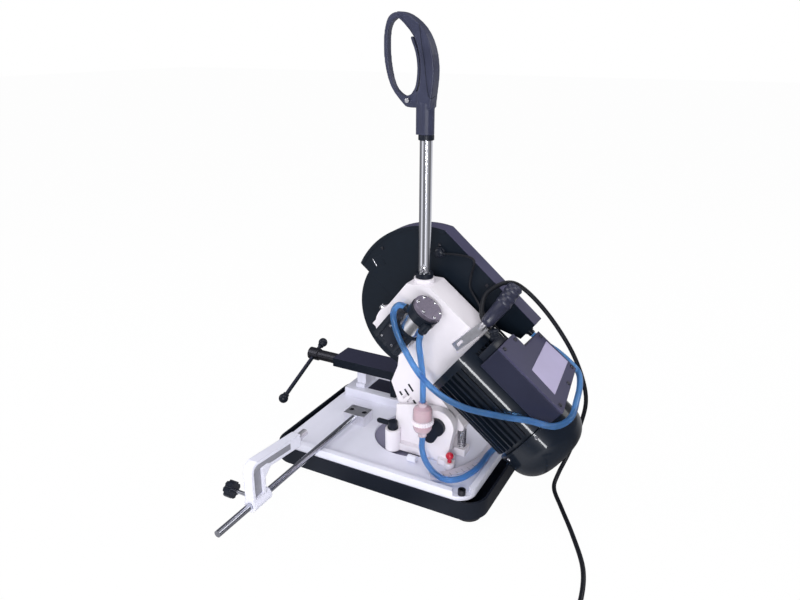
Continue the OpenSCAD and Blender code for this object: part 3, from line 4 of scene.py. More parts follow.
import bmesh
import bpy
from mathutils import Matrix, Vector
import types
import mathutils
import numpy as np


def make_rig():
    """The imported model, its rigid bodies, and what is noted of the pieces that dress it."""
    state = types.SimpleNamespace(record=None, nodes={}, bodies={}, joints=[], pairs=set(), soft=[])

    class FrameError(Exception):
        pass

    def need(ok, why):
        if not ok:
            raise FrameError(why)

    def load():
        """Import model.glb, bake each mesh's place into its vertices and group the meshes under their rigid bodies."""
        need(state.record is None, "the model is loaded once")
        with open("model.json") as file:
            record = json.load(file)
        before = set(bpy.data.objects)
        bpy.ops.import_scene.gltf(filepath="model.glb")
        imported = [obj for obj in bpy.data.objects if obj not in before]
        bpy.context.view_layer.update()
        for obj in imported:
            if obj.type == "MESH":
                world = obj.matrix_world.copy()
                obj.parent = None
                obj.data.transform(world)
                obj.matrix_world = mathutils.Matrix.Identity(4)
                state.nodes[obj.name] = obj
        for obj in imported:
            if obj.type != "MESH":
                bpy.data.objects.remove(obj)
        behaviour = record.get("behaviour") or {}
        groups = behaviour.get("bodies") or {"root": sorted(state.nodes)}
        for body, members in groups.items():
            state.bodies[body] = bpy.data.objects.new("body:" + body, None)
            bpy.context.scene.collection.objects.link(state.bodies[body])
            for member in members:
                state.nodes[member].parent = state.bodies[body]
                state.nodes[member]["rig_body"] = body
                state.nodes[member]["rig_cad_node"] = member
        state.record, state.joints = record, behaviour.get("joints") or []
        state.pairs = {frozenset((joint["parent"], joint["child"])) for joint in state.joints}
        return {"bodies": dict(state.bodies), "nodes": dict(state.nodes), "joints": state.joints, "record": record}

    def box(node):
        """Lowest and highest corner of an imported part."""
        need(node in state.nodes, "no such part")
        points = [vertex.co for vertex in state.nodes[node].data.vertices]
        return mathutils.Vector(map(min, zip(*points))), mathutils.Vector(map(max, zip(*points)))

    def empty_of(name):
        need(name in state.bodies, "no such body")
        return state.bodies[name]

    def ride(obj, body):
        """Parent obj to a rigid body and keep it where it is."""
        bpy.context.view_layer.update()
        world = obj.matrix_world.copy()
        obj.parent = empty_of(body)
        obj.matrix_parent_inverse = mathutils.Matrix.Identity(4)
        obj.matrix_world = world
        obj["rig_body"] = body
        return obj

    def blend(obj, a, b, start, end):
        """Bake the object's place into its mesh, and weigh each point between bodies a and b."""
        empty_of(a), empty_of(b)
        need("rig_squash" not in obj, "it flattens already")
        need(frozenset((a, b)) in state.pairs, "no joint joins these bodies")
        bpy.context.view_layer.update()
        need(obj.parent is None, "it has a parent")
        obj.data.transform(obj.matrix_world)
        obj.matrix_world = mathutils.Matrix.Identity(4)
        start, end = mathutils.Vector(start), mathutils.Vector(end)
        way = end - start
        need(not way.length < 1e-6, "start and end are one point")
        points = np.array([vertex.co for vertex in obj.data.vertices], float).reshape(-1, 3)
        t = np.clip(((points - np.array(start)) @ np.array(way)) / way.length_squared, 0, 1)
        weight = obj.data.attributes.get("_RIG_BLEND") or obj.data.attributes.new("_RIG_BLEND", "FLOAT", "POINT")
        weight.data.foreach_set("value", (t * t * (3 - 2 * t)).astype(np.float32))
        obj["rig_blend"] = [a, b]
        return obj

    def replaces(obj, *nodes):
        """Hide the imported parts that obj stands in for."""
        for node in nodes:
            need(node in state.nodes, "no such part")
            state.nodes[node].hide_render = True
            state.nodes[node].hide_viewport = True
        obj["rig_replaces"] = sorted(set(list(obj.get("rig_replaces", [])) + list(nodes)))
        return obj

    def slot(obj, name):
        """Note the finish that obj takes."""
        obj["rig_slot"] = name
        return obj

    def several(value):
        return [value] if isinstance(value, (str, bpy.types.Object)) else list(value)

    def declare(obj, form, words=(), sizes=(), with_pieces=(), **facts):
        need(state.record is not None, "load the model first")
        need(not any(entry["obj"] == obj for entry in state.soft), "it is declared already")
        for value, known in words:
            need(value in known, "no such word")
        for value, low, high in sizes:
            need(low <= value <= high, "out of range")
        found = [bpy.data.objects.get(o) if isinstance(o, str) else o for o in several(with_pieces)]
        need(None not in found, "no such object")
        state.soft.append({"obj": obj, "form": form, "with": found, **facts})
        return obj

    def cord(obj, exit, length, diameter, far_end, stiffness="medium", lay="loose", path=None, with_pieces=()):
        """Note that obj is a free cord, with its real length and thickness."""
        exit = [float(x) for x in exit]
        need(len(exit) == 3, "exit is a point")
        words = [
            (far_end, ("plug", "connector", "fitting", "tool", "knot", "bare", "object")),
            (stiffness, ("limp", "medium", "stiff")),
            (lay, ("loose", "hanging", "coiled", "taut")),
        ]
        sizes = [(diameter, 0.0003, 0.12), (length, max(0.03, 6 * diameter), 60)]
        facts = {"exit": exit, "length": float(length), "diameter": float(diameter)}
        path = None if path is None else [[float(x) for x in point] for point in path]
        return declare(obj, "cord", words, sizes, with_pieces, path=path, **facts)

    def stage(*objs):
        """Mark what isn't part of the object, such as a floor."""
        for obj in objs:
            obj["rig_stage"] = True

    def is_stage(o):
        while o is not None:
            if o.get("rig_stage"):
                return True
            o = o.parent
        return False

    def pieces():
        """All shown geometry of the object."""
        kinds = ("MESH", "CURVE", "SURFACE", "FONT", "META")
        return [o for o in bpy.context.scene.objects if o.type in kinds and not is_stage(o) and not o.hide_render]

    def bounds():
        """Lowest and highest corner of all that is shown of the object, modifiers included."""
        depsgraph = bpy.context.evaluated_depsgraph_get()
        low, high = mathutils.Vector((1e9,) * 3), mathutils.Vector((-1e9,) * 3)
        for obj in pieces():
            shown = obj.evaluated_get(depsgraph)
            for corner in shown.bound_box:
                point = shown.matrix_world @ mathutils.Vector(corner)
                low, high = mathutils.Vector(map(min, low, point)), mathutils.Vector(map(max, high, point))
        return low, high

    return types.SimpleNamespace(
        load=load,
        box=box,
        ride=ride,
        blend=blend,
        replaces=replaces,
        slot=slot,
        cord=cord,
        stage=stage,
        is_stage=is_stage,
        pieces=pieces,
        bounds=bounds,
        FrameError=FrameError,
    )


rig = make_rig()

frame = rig.load()
cad_low, cad_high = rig.bounds()
nodes = frame["nodes"]
scene = bpy.context.scene

# Frames: points are in millimetres, in the world, in the head's own frame or on the head's side
MM = 0.001
HINGE_Y, HINGE_Z = 88, 121  # the head's origin
TILT = math.radians(38.2)  # the head's Y runs back along the motor shaft and its Z is square to that
WORLD = Matrix.Scale(MM, 4)
HEAD = Matrix.Translation((0, HINGE_Y * MM, HINGE_Z * MM)) @ Matrix.Rotation(-TILT, 4, "X") @ WORLD
# The side's X, Y and Z are the head's Y, Z and X
SIDE = HEAD @ Matrix(((0, 0, 1, 0), (1, 0, 0, 0), (0, 1, 0, 0), (0, 0, 0, 1)))


def in_world(p):
    """A point of the head's frame in the world's millimetres."""
    return HEAD @ Vector(p) / MM


def polar(r, degrees):
    angle = math.radians(degrees)
    return r * math.cos(angle), r * math.sin(angle)


# Camera at the photo's viewing angle
CAMERA_PLACE = (1.100, 0.561, 0.800)
AZIMUTH = math.radians(28.1)
PITCH = math.radians(20.7)
camera = bpy.data.objects.new("camera", bpy.data.cameras.new("camera"))
scene.collection.objects.link(camera)
level_x, level_y = math.cos(AZIMUTH), math.sin(AZIMUTH)
forward = Vector((-math.cos(PITCH) * level_x, -math.cos(PITCH) * level_y, -math.sin(PITCH)))
right = Vector((-level_y, level_x, 0))
camera.matrix_world = Matrix.Translation(CAMERA_PLACE) @ Matrix(
    (right, right.cross(forward), -forward)).transposed().to_4x4()
camera.data.sensor_width = 36
camera.data.lens = 31.5
camera.data.clip_start = 0.01
camera.data.clip_end = 60
scene.camera = camera

# Node helpers for the materials
EDGE_FROM, EDGE_TO = 0.995, 0.85  # cosines between true and rounded normal where the mask starts and is full


class Shader:
    """A principled material that is built up from procedural nodes."""
    def __init__(self, name):
        self.mat = bpy.data.materials.new(name)
        self.mat.use_nodes = True
        self.tree = self.mat.node_tree
        self.bsdf = self.tree.nodes["Principled BSDF"]
        self.coords = self.add("ShaderNodeTexCoord").outputs["Object"]

    def add(self, kind, **settings):
        node = self.tree.nodes.new(kind)
        for key, value in settings.items():
            setattr(node, key, value)
        return node

    def link(self, source, target):
        self.tree.links.new(source, target)

    def stretched(self, scale):
        node = self.add("ShaderNodeMapping")
        node.inputs["Scale"].default_value = scale
        self.link(self.coords, node.inputs["Vector"])
        return node.outputs["Vector"]

    def noise(self, scale, detail, rough, coords=None):
        node = self.add("ShaderNodeTexNoise")
        node.inputs["Scale"].default_value = scale
        node.inputs["Detail"].default_value = detail
        node.inputs["Roughness"].default_value = rough
        self.link(coords or self.coords, node.inputs["Vector"])
        return node.outputs["Fac"]

    def ramp(self, source, low, high, to=(0, 1)):
        """The source's range from low to high, brought to another range and held at its ends."""
        node = self.add("ShaderNodeMapRange", clamp=True)
        for key, value in zip(("From Min", "From Max", "To Min", "To Max"), (low, high, *to)):
            node.inputs[key].default_value = value
        self.link(source, node.inputs["Value"])
        return node.outputs["Result"]

    def math(self, operation, a, b):
        node = self.add("ShaderNodeMath", operation=operation)
        for k, value in enumerate((a, b)):
            if isinstance(value, float):
                node.inputs[k].default_value = value
            else:
                self.link(value, node.inputs[k])
        return node.outputs[0]

    def mix(self, factor, a, b):
        """A blend of two colours, through the colour sockets of a mix node."""
        node = self.add("ShaderNodeMix", data_type="RGBA")
        for k, value in ((0, factor), (6, a), (7, b)):
            if isinstance(value, tuple):
                node.inputs[k].default_value = (*value, 1)
            else:
                self.link(value, node.inputs[k])
        return node.outputs[2]

    def edge(self, radius):
        """A rounded normal near edges, and a mask that is bright along them."""
        bevel = self.add("ShaderNodeBevel", samples=6)
        bevel.inputs["Radius"].default_value = radius
        shape = self.add("ShaderNodeNewGeometry")
        dot = self.add("ShaderNodeVectorMath", operation="DOT_PRODUCT")
        self.link(bevel.outputs["Normal"], dot.inputs[0])
        self.link(shape.outputs["Normal"], dot.inputs[1])
        return bevel.outputs["Normal"], self.ramp(dot.outputs["Value"], EDGE_FROM, EDGE_TO)

    def bump(self, height, strength, distance, normal=None):
        node = self.add("ShaderNodeBump")
        node.inputs["Strength"].default_value = strength
        node.inputs["Distance"].default_value = distance
        self.link(height, node.inputs["Height"])
        if normal is not None:
            self.link(normal, node.inputs["Normal"])
        return node.outputs["Normal"]

    def done(self, color, rough, normal, **sockets):
        for key, source in (("Base Color", color), ("Roughness", rough), ("Normal", normal)):
            self.link(source, self.bsdf.inputs[key])
        for key, value in sockets.items():
            self.bsdf.inputs[key.replace("_", " ")].default_value = value
        return self.mat


def scaled(color, k):
    return tuple(min(1.0, c * k) for c in color)


def paint(name, color, rough=0.42, grain=1000, bump=0.12, wear=0.5, worn=None, radius=0.0012, dust=0.10,
        top=None, **sockets):
    """Sprayed enamel: blotches, orange peel, rubbed edges, and painted light: a lighter top on faces that look up,
    where its colour is given.
    """
    s = Shader(name)
    normal, mask = s.edge(radius)
    blotch = s.noise(scale=11, detail=5, rough=0.6)
    fine = s.noise(scale=grain, detail=3, rough=0.5)
    scuff = s.noise(scale=160, detail=4, rough=0.55)
    tone = s.mix(s.ramp(blotch, 0.35, 0.7), scaled(color, 1 - dust), scaled(color, 1 + dust))
    # Painted light: faces that look up take the lighter top colour
    if top:
        up = s.add("ShaderNodeSeparateXYZ")
        s.link(s.add("ShaderNodeNewGeometry").outputs["Normal"], up.inputs["Vector"])
        tone = s.mix(s.ramp(up.outputs["Z"], 0.7, 0.95), tone, top)
    rub = s.math("MULTIPLY", mask, s.ramp(scuff, 0.42, 0.7, to=(0, wear)))
    tone = s.mix(rub, tone, worn or scaled(color, 1.8))
    shine = s.ramp(blotch, 0.3, 0.75, to=(rough - 0.05, rough + 0.06))
    shine = s.math("ADD", shine, s.ramp(fine, 0.3, 0.7, to=(-0.03, 0.03)))
    return s.done(tone, shine, s.bump(fine, bump, distance=0.0002, normal=normal), **sockets)


def metal(name, color, rough, streak, along=(1, 1, 1), dark=0.75, radius=0.0008, bump=0.05, vary=1.0):
    """Turned or brushed metal, with streaks along one direction and a few dull spots."""
    s = Shader(name)
    normal, mask = s.edge(radius)
    lines = s.noise(scale=streak, detail=3, rough=0.6, coords=s.stretched(along))
    spots = s.noise(scale=40, detail=5, rough=0.6)
    tone = s.mix(s.ramp(lines, 0.35, 0.65), scaled(color, dark), color)
    # Painted highlight: the colour is lighter along every edge
    tone = s.mix(s.math("MULTIPLY", mask, 0.3), tone, scaled(color, 1.25))
    shine = s.ramp(lines, 0.3, 0.7, to=(rough - 0.06 * vary, rough + 0.08 * vary))
    shine = s.math("ADD", shine, s.ramp(spots, 0.55, 0.75, to=(0, 0.10 * vary)))
    return s.done(tone, shine, s.bump(lines, bump, distance=0.0001, normal=normal), Metallic=1.0)


def plastic(name, color, rough, grain, bump, radius=0.001, tone_by=0.15, **sockets):
    """Moulded plastic or rubber with a spark-eroded grain."""
    s = Shader(name)
    normal, mask = s.edge(radius)
    cell = s.add("ShaderNodeTexVoronoi")
    cell.inputs["Scale"].default_value = grain
    s.link(s.coords, cell.inputs["Vector"])
    soft = s.noise(scale=24, detail=4, rough=0.6)
    tone = s.mix(s.ramp(soft, 0.35, 0.7), scaled(color, 1 - tone_by), scaled(color, 1 + tone_by))
    # Painted highlight: the colour is lighter along every edge
    tone = s.mix(s.math("MULTIPLY", mask, 0.25), tone, scaled(color, 1.9))
    shine = s.ramp(soft, 0.3, 0.7, to=(rough - 0.06, rough + 0.06))
    pits = s.bump(cell.outputs["Distance"], bump, distance=0.0002, normal=normal)
    return s.done(tone, shine, pits, **sockets)


def clear(name, color, rough):
    """Clear moulded plastic with flow marks."""
    s = Shader(name)
    flow = s.noise(scale=70, detail=3, rough=0.5, coords=s.stretched((1, 1, 3)))
    tone = s.mix(s.ramp(flow, 0.35, 0.7), scaled(color, 0.93), color)
    shine = s.ramp(flow, 0.3, 0.7, to=(rough, rough + 0.12))
    return s.done(tone, shine, s.bump(flow, strength=0.06, distance=0.0003), Transmission_Weight=0.6,
        IOR=1.30)


# Paints
ENAMEL = {"rough": 0.40, "grain": 700, "bump": 0.10, "wear": 0.25, "radius": 0.0022, "dust": 0.03}
WHITE = paint("casting_white", (0.83, 0.79, 0.84), worn=(0.62, 0.60, 0.66), **ENAMEL)
BASE = paint("base_white", (0.78, 0.78, 0.89), worn=(0.60, 0.60, 0.68), **ENAMEL)
TANK = paint("tank_black", (0.008, 0.011, 0.019), rough=0.46, grain=1100, bump=0.10,
    worn=(0.04, 0.05, 0.08), radius=0.0018, Specular_IOR_Level=0.15)
BLACK = paint("motor_black", (0.006, 0.010, 0.018), rough=0.36, grain=900, bump=0.10,
    worn=(0.03, 0.04, 0.06), Specular_IOR_Level=0.14, Coat_Weight=0.5, Coat_Roughness=0.08)
GUARD = paint("guard_black", (0.005, 0.0095, 0.017), rough=0.44, worn=(0.05, 0.06, 0.09),
    Specular_IOR_Level=0.22)
# Slate for the guard's rim band, lighter than the guard: painted light where the rim faces up
LIT_BAND = paint("guard_band_painted_light", (0.062, 0.060, 0.115), rough=0.44, worn=(0.14, 0.13, 0.20), radius=0.0010,
    Specular_IOR_Level=0.3)
# Lit and shaded copies of one slate paint: the lid's lighter slate is painted light on its top, the box's darker slate
# is painted shade on its sides
LIT_SLATE = paint("lid_slate_painted_light", (0.046, 0.044, 0.094), worn=(0.14, 0.13, 0.20), radius=0.0025,
    Specular_IOR_Level=0.3)
SHADE_SLATE = paint("box_slate_painted_shade", (0.018, 0.020, 0.042), worn=(0.09, 0.09, 0.14), radius=0.0040,
    Specular_IOR_Level=0.25)
# The vise's lighter top colour is painted light on its faces that look up
VISE = paint("vise_black", (0.005, 0.009, 0.017), rough=0.46, grain=620, bump=0.20, wear=0.55,
    worn=(0.07, 0.08, 0.12), radius=0.0014, top=(0.024, 0.025, 0.050), Specular_IOR_Level=0.22)
# Grey for the stop arm's web: painted shade in its recess
SHADE_GREY = paint("web_painted_shade", (0.27, 0.27, 0.31), rough=0.5, grain=600, bump=0.2, wear=0.3, radius=0.0015)
IRON = paint("turntable_grey", (0.22, 0.21, 0.30), grain=420, bump=0.16, wear=0.4,
    worn=(0.36, 0.34, 0.44), radius=0.0015)
SCALE = paint("scale_strip", (0.66, 0.62, 0.71), rough=0.40, grain=500, bump=0.08, wear=0.3,
    worn=(0.50, 0.48, 0.56), radius=0.0010, dust=0.05)
LABEL = paint("bare_label", (0.43, 0.39, 0.58), rough=0.40, grain=260, bump=0.05, wear=0.2,
    worn=(0.48, 0.45, 0.58), radius=0.0006, dust=0.05)

# Metals
POLISHED = {"streak": 14, "dark": 0.92, "radius": 0.0001, "bump": 0.0}
CHROME = metal("chrome_rod", (0.88, 0.89, 0.95), rough=0.13, along=(60, 60, 1), vary=0.3, **POLISHED)
CHROME_X = metal("chrome_rod_x", (0.55, 0.56, 0.62), rough=0.22, along=(1, 60, 60), vary=0.2, **POLISHED)
BRIGHT = metal("bright_plate", (0.86, 0.86, 0.90), rough=0.16, streak=90, dark=0.88)
ZINC = metal("zinc_plate", (0.93, 0.92, 0.96), rough=0.36, streak=140, dark=0.9)
STEEL = metal("ground_steel", (0.55, 0.55, 0.59), rough=0.30, streak=22, along=(1, 40, 40))
BLADE = metal("blade_steel", (0.50, 0.51, 0.55), rough=0.34, streak=60, bump=0.01, vary=0.4)
DARK = metal("black_oxide", (0.085, 0.085, 0.10), rough=0.38, streak=320)
ALLOY = metal("cast_alloy", (0.36, 0.32, 0.41), rough=0.42, streak=420, dark=0.7, bump=0.2)
BRONZE = metal("bronze", (0.62, 0.44, 0.16), rough=0.32, streak=20, along=(40, 1, 1))

# Plastics, rubbers and varnish
COPPER = plastic("varnished_winding", (0.40, 0.17, 0.06), rough=0.35, grain=500, bump=0.4)
RUBBER = plastic("rubber", (0.016, 0.016, 0.019), rough=0.62, grain=900, bump=0.22)
CORD = plastic("cord_jacket", (0.008, 0.009, 0.013), rough=0.40, grain=700, bump=0.10,
    Specular_IOR_Level=0.3)
GRIP = plastic("grip_nylon", (0.032, 0.036, 0.070), rough=0.40, grain=1300, bump=0.14, radius=0.0012,
    Specular_IOR_Level=0.4)
RIBBED = plastic("ribbed_rubber", (0.024, 0.026, 0.050), rough=0.34, grain=1600, bump=0.05, radius=0.0002)
PLASTIC = plastic("black_plastic", (0.008, 0.011, 0.020), rough=0.36, grain=1300, bump=0.10,
    Specular_IOR_Level=0.3)
RED = plastic("red_ball", (0.55, 0.012, 0.035), rough=0.18, grain=300, bump=0.03, Coat_Weight=0.6,
    Coat_Roughness=0.08)
HOSE = plastic("hose_blue", (0.130, 0.340, 0.70), rough=0.32, grain=220, bump=0.05, radius=0.0005,
    tone_by=0.12, Coat_Weight=0.5, Coat_Roughness=0.12, Transmission_Weight=0.75, IOR=1.10)
LENS = plastic("filter_collar", (0.84, 0.77, 0.85), rough=0.30, grain=400, bump=0.06)
CORE = plastic("filter_core", (0.90, 0.34, 0.46), rough=0.5, grain=800, bump=0.3)
CLEAR = clear("filter_bowl", (0.97, 0.84, 0.91), rough=0.10)


# Materials of the CAD nodes
def put(material, *names):
    for name in names:
        slots = nodes[name].data.materials
        slots.clear()
        slots.append(material)


put(TANK, "coolant_tank")
put(RUBBER, "rubber_feet", "cord_tie", "cord_plug")
put(BASE, "base_casting", "vise_nut", "stop_arm")
put(WHITE, "swivel_bracket", "gearbox_housing", "gearbox_cover")
put(DARK, "base_bolts", "stop_block_screws", "vise_screw", "cooling_fan")
put(SCALE, "mitre_scale")
put(VISE, "vise_arm", "fixed_jaw", "vise_bar")
put(ZINC, "stop_pin", "stop_block", "rear_handle_bar")
put(STEEL, "hinge_pin", "return_spring", "bearings", "rotor_shaft", "worm", "spindle", "blade_bolt")
put(BLADE, "blade")
put(CHROME_X, "stop_rod")
put(CHROME, "lever_rod")
put(PLASTIC, "vise_bar_balls", "stop_knob", "clamp_lever", "cable_glands", "lever_collar", "hinge_cap")
put(GRIP, "grip", "trigger")
put(BLACK, "motor_body", "fan_cover", "pump_motor", "pump_head")
put(GUARD, "upper_guard", "lower_guard")
# Painted light on the lid and painted shade on the box, both from one slate paint
put(LIT_SLATE, "terminal_lid")
put(SHADE_SLATE, "terminal_box")
put(IRON, "turntable_disc")
put(RED, "index_pin")
put(COPPER, "stator")
put(BRONZE, "worm_wheel")
put(RIBBED, "rear_handle_grip")
put(ALLOY, "pump_cover")
put(LENS, "coolant_filter")

# Mesh helpers: points are in a frame's millimetres and go through its matrix
SOFT = 40  # edges that turn less than this many degrees are shaded smooth


def mesh_object(name, points, faces, material, body, matrix, angle=None):
    """An object out of points and faces, shaded smooth below an angle where one is given."""
    mesh = bpy.data.meshes.new(name)
    mesh.from_pydata([matrix @ Vector(p) for p in points], [], faces)
    mesh.update()
    made = bmesh.new()
    made.from_mesh(mesh)
    bmesh.ops.recalc_face_normals(made, faces=made.faces)
    made.to_mesh(mesh)
    made.free()
    if angle is not None:
        mesh.shade_smooth()
        mesh.set_sharp_from_angle(angle=math.radians(angle))
    mesh.materials.append(material)
    o = bpy.data.objects.new(name, mesh)
    scene.collection.objects.link(o)
    if body:
        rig.ride(o, body)
    return o


def joined(name, parts, body):
    """One object out of several, each with its own material."""
    bpy.ops.object.select_all(action="DESELECT")
    for p in parts:
        p.select_set(True)
    bpy.context.view_layer.objects.active = parts[0]
    bpy.ops.object.join()
    parts[0].name = name
    parts[0].data.name = name
    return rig.ride(parts[0], body) if body else parts[0]


def curve_point(a, b, c, d, t):
    """A point between b and c on a curve that passes through both, led by a and d."""
    return (2 * b + (c - a) * t + (2 * a - 5 * b + 4 * c - d) * t * t + (3 * b - a - 3 * c + d) * t ** 3) / 2


def smooth(route, steps):
    p = [Vector(q) for q in route]
    n = len(p) - 1
    line = [curve_point(p[max(i - 1, 0)], p[i], p[i + 1], p[min(i + 2, n)], k / steps)
        for i in range(n) for k in range(steps)]
    return line + [p[n]]


def led(route, steps):
    """A smooth line whose first and last stretch are straight."""
    return [Vector(route[0])] + smooth(route[1:-1], steps) + [Vector(route[-1])]


def ring_frames(line):
    """Each point of a line with two directions square to it that turn as little as they can."""
    side = Vector((0.31, 0.17, 0.93))  # no line starts along this
    for i, p in enumerate(line):
        tangent = (line[min(i + 1, len(line) - 1)] - line[max(i - 1, 0)]).normalized()
        side = (side - side.dot(tangent) * tangent).normalized()
        yield p, side.copy(), tangent.cross(side)


def ring_faces(rings, sides):
    """The faces of a closed skin over rings of points, with a cap at each end."""
    last = (rings - 1) * sides
    faces = []
    for i in range(0, last, sides):
        for k in range(sides):
            j = (k + 1) % sides
            faces.append((i + k, i + j, i + sides + j, i + sides + k))
    return faces + [tuple(range(sides)), tuple(range(last, last + sides))]


def tube(name, line, radii, material, body, sides, matrix=WORLD):
    """A closed tube along a line, with one radius or one for each point."""
    if not isinstance(radii, list):
        radii = [radii] * len(line)
    points = []
    for (p, a, b), r in zip(ring_frames(line), radii):
        for k in range(sides):
            t = 2 * math.pi * k / sides
            points.append(p + r * (math.cos(t) * a + math.sin(t) * b))
    return mesh_object(name, points, ring_faces(len(line), sides), material, body, matrix, SOFT)


def axis_matrix(origin, axis, matrix=WORLD):
    """A frame whose Z runs along axis, at origin, both in the given frame."""
    turn = Vector(axis).normalized().to_track_quat("Z", "Y").to_matrix().to_4x4()
    return matrix @ Matrix.Translation(origin) @ turn


def lathe(name, profile, material, body, matrix, sides=40, angle=35):
    """A turned piece: profile points are (radius, height) along the frame's Z."""
    points = []
    for r, h in profile:
        for k in range(sides):
            t = 2 * math.pi * k / sides
            points.append((r * math.cos(t), r * math.sin(t), h))
    return mesh_object(name, points, ring_faces(len(profile), sides), material, body, matrix, angle)


def fluted(name, rows, crest, root, period, sides, material, matrix, angle=None):
    """A ring with upright flutes: rows are (growth, height), and one point in each period is a root."""
    points = []
    for grow, height in rows:
        for k in range(sides):
            r = (crest if k % period else root) * grow
            points.append((*polar(r, k * 360 / sides), height))
    return mesh_object(name, points, ring_faces(len(rows), sides), material, None, matrix, angle)


def ribs(count, radius, taper, step, start, pitch):
    """Profile points of a ribbed sleeve, with every second radius changed by a step."""
    return [(radius + taper * k + (step if k % 2 else 0), start + pitch * k) for k in range(count)]


def plate(name, outline, z0, z1, material, body, matrix, bevel=0.0, segments=2):
    """An outline in the frame's XY, thick along its Z, with its edges rounded."""
    made = bmesh.new()
    face = made.faces.new([made.verts.new((x, y, z0)) for x, y in outline])
    lifted = bmesh.ops.extrude_face_region(made, geom=[face])
    for v in (g for g in lifted["geom"] if isinstance(g, bmesh.types.BMVert)):
        v.co.z = z1
    bmesh.ops.recalc_face_normals(made, faces=made.faces)
    if bevel:
        bmesh.ops.bevel(made, geom=list(made.edges), offset=bevel, segments=segments, profile=0.5,
            affect="EDGES")
    points = [v.co.copy() for v in made.verts]
    made.verts.index_update()
    faces = [tuple(v.index for v in f.verts) for f in made.faces]
    made.free()
    return mesh_object(name, points, faces, material, body, matrix, SOFT)


def box(name, low, high, material, body, matrix=WORLD, bevel=0.0, segments=2):
    outline = [(low[0], low[1]), (high[0], low[1]), (high[0], high[1]), (low[0], high[1])]
    return plate(name, outline, low[2], high[2], material, body, matrix, bevel, segments)


WASHER_H = 1.2


def hexagon(r):
    return [polar(r, 60 * k) for k in range(6)]


def pan_head(name, origin, axis, material, matrix, r, h):
    """A rounded screw head, not yet on a body, with a dark cross that is painted shade for its cross recess."""
    m = axis_matrix(origin, axis, matrix)
    profile = [(r, 0), (r, h * 0.45), (r * 0.86, h * 0.8), (r * 0.55, h), (r * 0.1, h)]
    head = lathe(name, profile, material, None, m, sides=20)
    # Painted shade: a dark cross stands for the cross recess
    low = (-r * 0.62, -r * 0.12, h * 0.82)
    high = (r * 0.62, r * 0.12, h * 1.03)
    cross = [box(name + "_slot%d" % k, low, high, DARK, None, m @ Matrix.Rotation(k * math.pi / 2, 4, "Z"))
        for k in range(2)]
    return joined(name, [head, *cross], None)


def hex_head(name, origin, axis, material, body, r, h, matrix=WORLD):
    """A hexagon head on its washer."""
    m = axis_matrix(origin, axis, matrix)
    head = plate(name, hexagon(r), 0, h, material, None, m, bevel=0.5)
    profile = [(r * 1.25, 0), (r * 1.25, WASHER_H), (r * 0.9, WASHER_H)]
    washer = lathe(name + "_washer", profile, material, None, m, sides=28)
    return joined(name, [head, washer], body)


# Mains cord: free run from the gland, then the coil that is put away
GLAND_X, GLAND_U, GLAND_V = 34, -26, 206
GLAND_L = 24
CORD_R = 4.0
CORD_Z = 5.0  # the centre line's height on the bench
CORD_LEAD = 8  # straight run out of the gland
COIL_X, COIL_Y = 350, 470
COIL_R = 60
COIL_STEP = 10  # change of radius in a turn
COIL_LAYER = 8.8  # rise from the lower layer to the upper one
COIL_TURNS = 2.5  # turns in each layer
COIL_START = 270
COIL_POINTS = 48  # points in a turn
PLUG_LEAD = 31  # straight run from the coil to the plug
cord_u = GLAND_U - GLAND_L
cord_route = [in_world((GLAND_X, cord_u, GLAND_V)), in_world((GLAND_X, cord_u - CORD_LEAD, GLAND_V)),
    (32, 160, 328), (22, 148, 342), (-8, 144, 368), (-34, 172, 386), (-46, 203, 374), (-62, 250, 322),
    (-76, 296, 248), (-82, 322, 172), (-86, 316, 104), (-78, 302, 46), (-48, 292, 12), (-10, 296, CORD_Z),
    (40, 324, CORD_Z), (104, 362, CORD_Z), (176, 398, CORD_Z), (246, 412, CORD_Z), (300, 410, CORD_Z),
    (342, 410, CORD_Z)]
coil_inner_r = COIL_R - COIL_STEP * COIL_TURNS
layer_points = int(COIL_TURNS * COIL_POINTS)
half_turn = COIL_POINTS // 2
coil = []
for i in range(2 * layer_points + half_turn + 1):
    past = i - layer_points
    if past <= 0:
        coil_r = COIL_R - COIL_STEP * i / COIL_POINTS
    else:
        coil_r = coil_inner_r + max(0, COIL_STEP * (past - half_turn) / COIL_POINTS)
    coil_x, coil_y = polar(coil_r, COIL_START + 360 * i / COIL_POINTS)
    rise = COIL_LAYER * min(max(past / half_turn, 0), 1)
    coil.append(Vector((COIL_X + coil_x, COIL_Y + coil_y, CORD_Z + rise)))
plug_place = Vector((COIL_X - PLUG_LEAD, COIL_Y + COIL_R, CORD_Z + COIL_LAYER))
cord_line = led(cord_route, steps=8) + coil + [plug_place]


def run_of(line):
    path = [tuple(p * MM) for p in line]
    length = sum((b - a).length for a, b in zip(line, line[1:])) * MM
    return {"exit": path[0], "path": path, "length": round(length, 3)}


mains = tube("mains_lead", cord_line, CORD_R, CORD, None, sides=14)
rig.blend(mains, "head", "swivel", start=(-0.055, 0.240, 0.335), end=(-0.080, 0.310, 0.030))
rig.replaces(mains, "mains_cord", "cord_coil")
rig.slot(mains, "rubber")

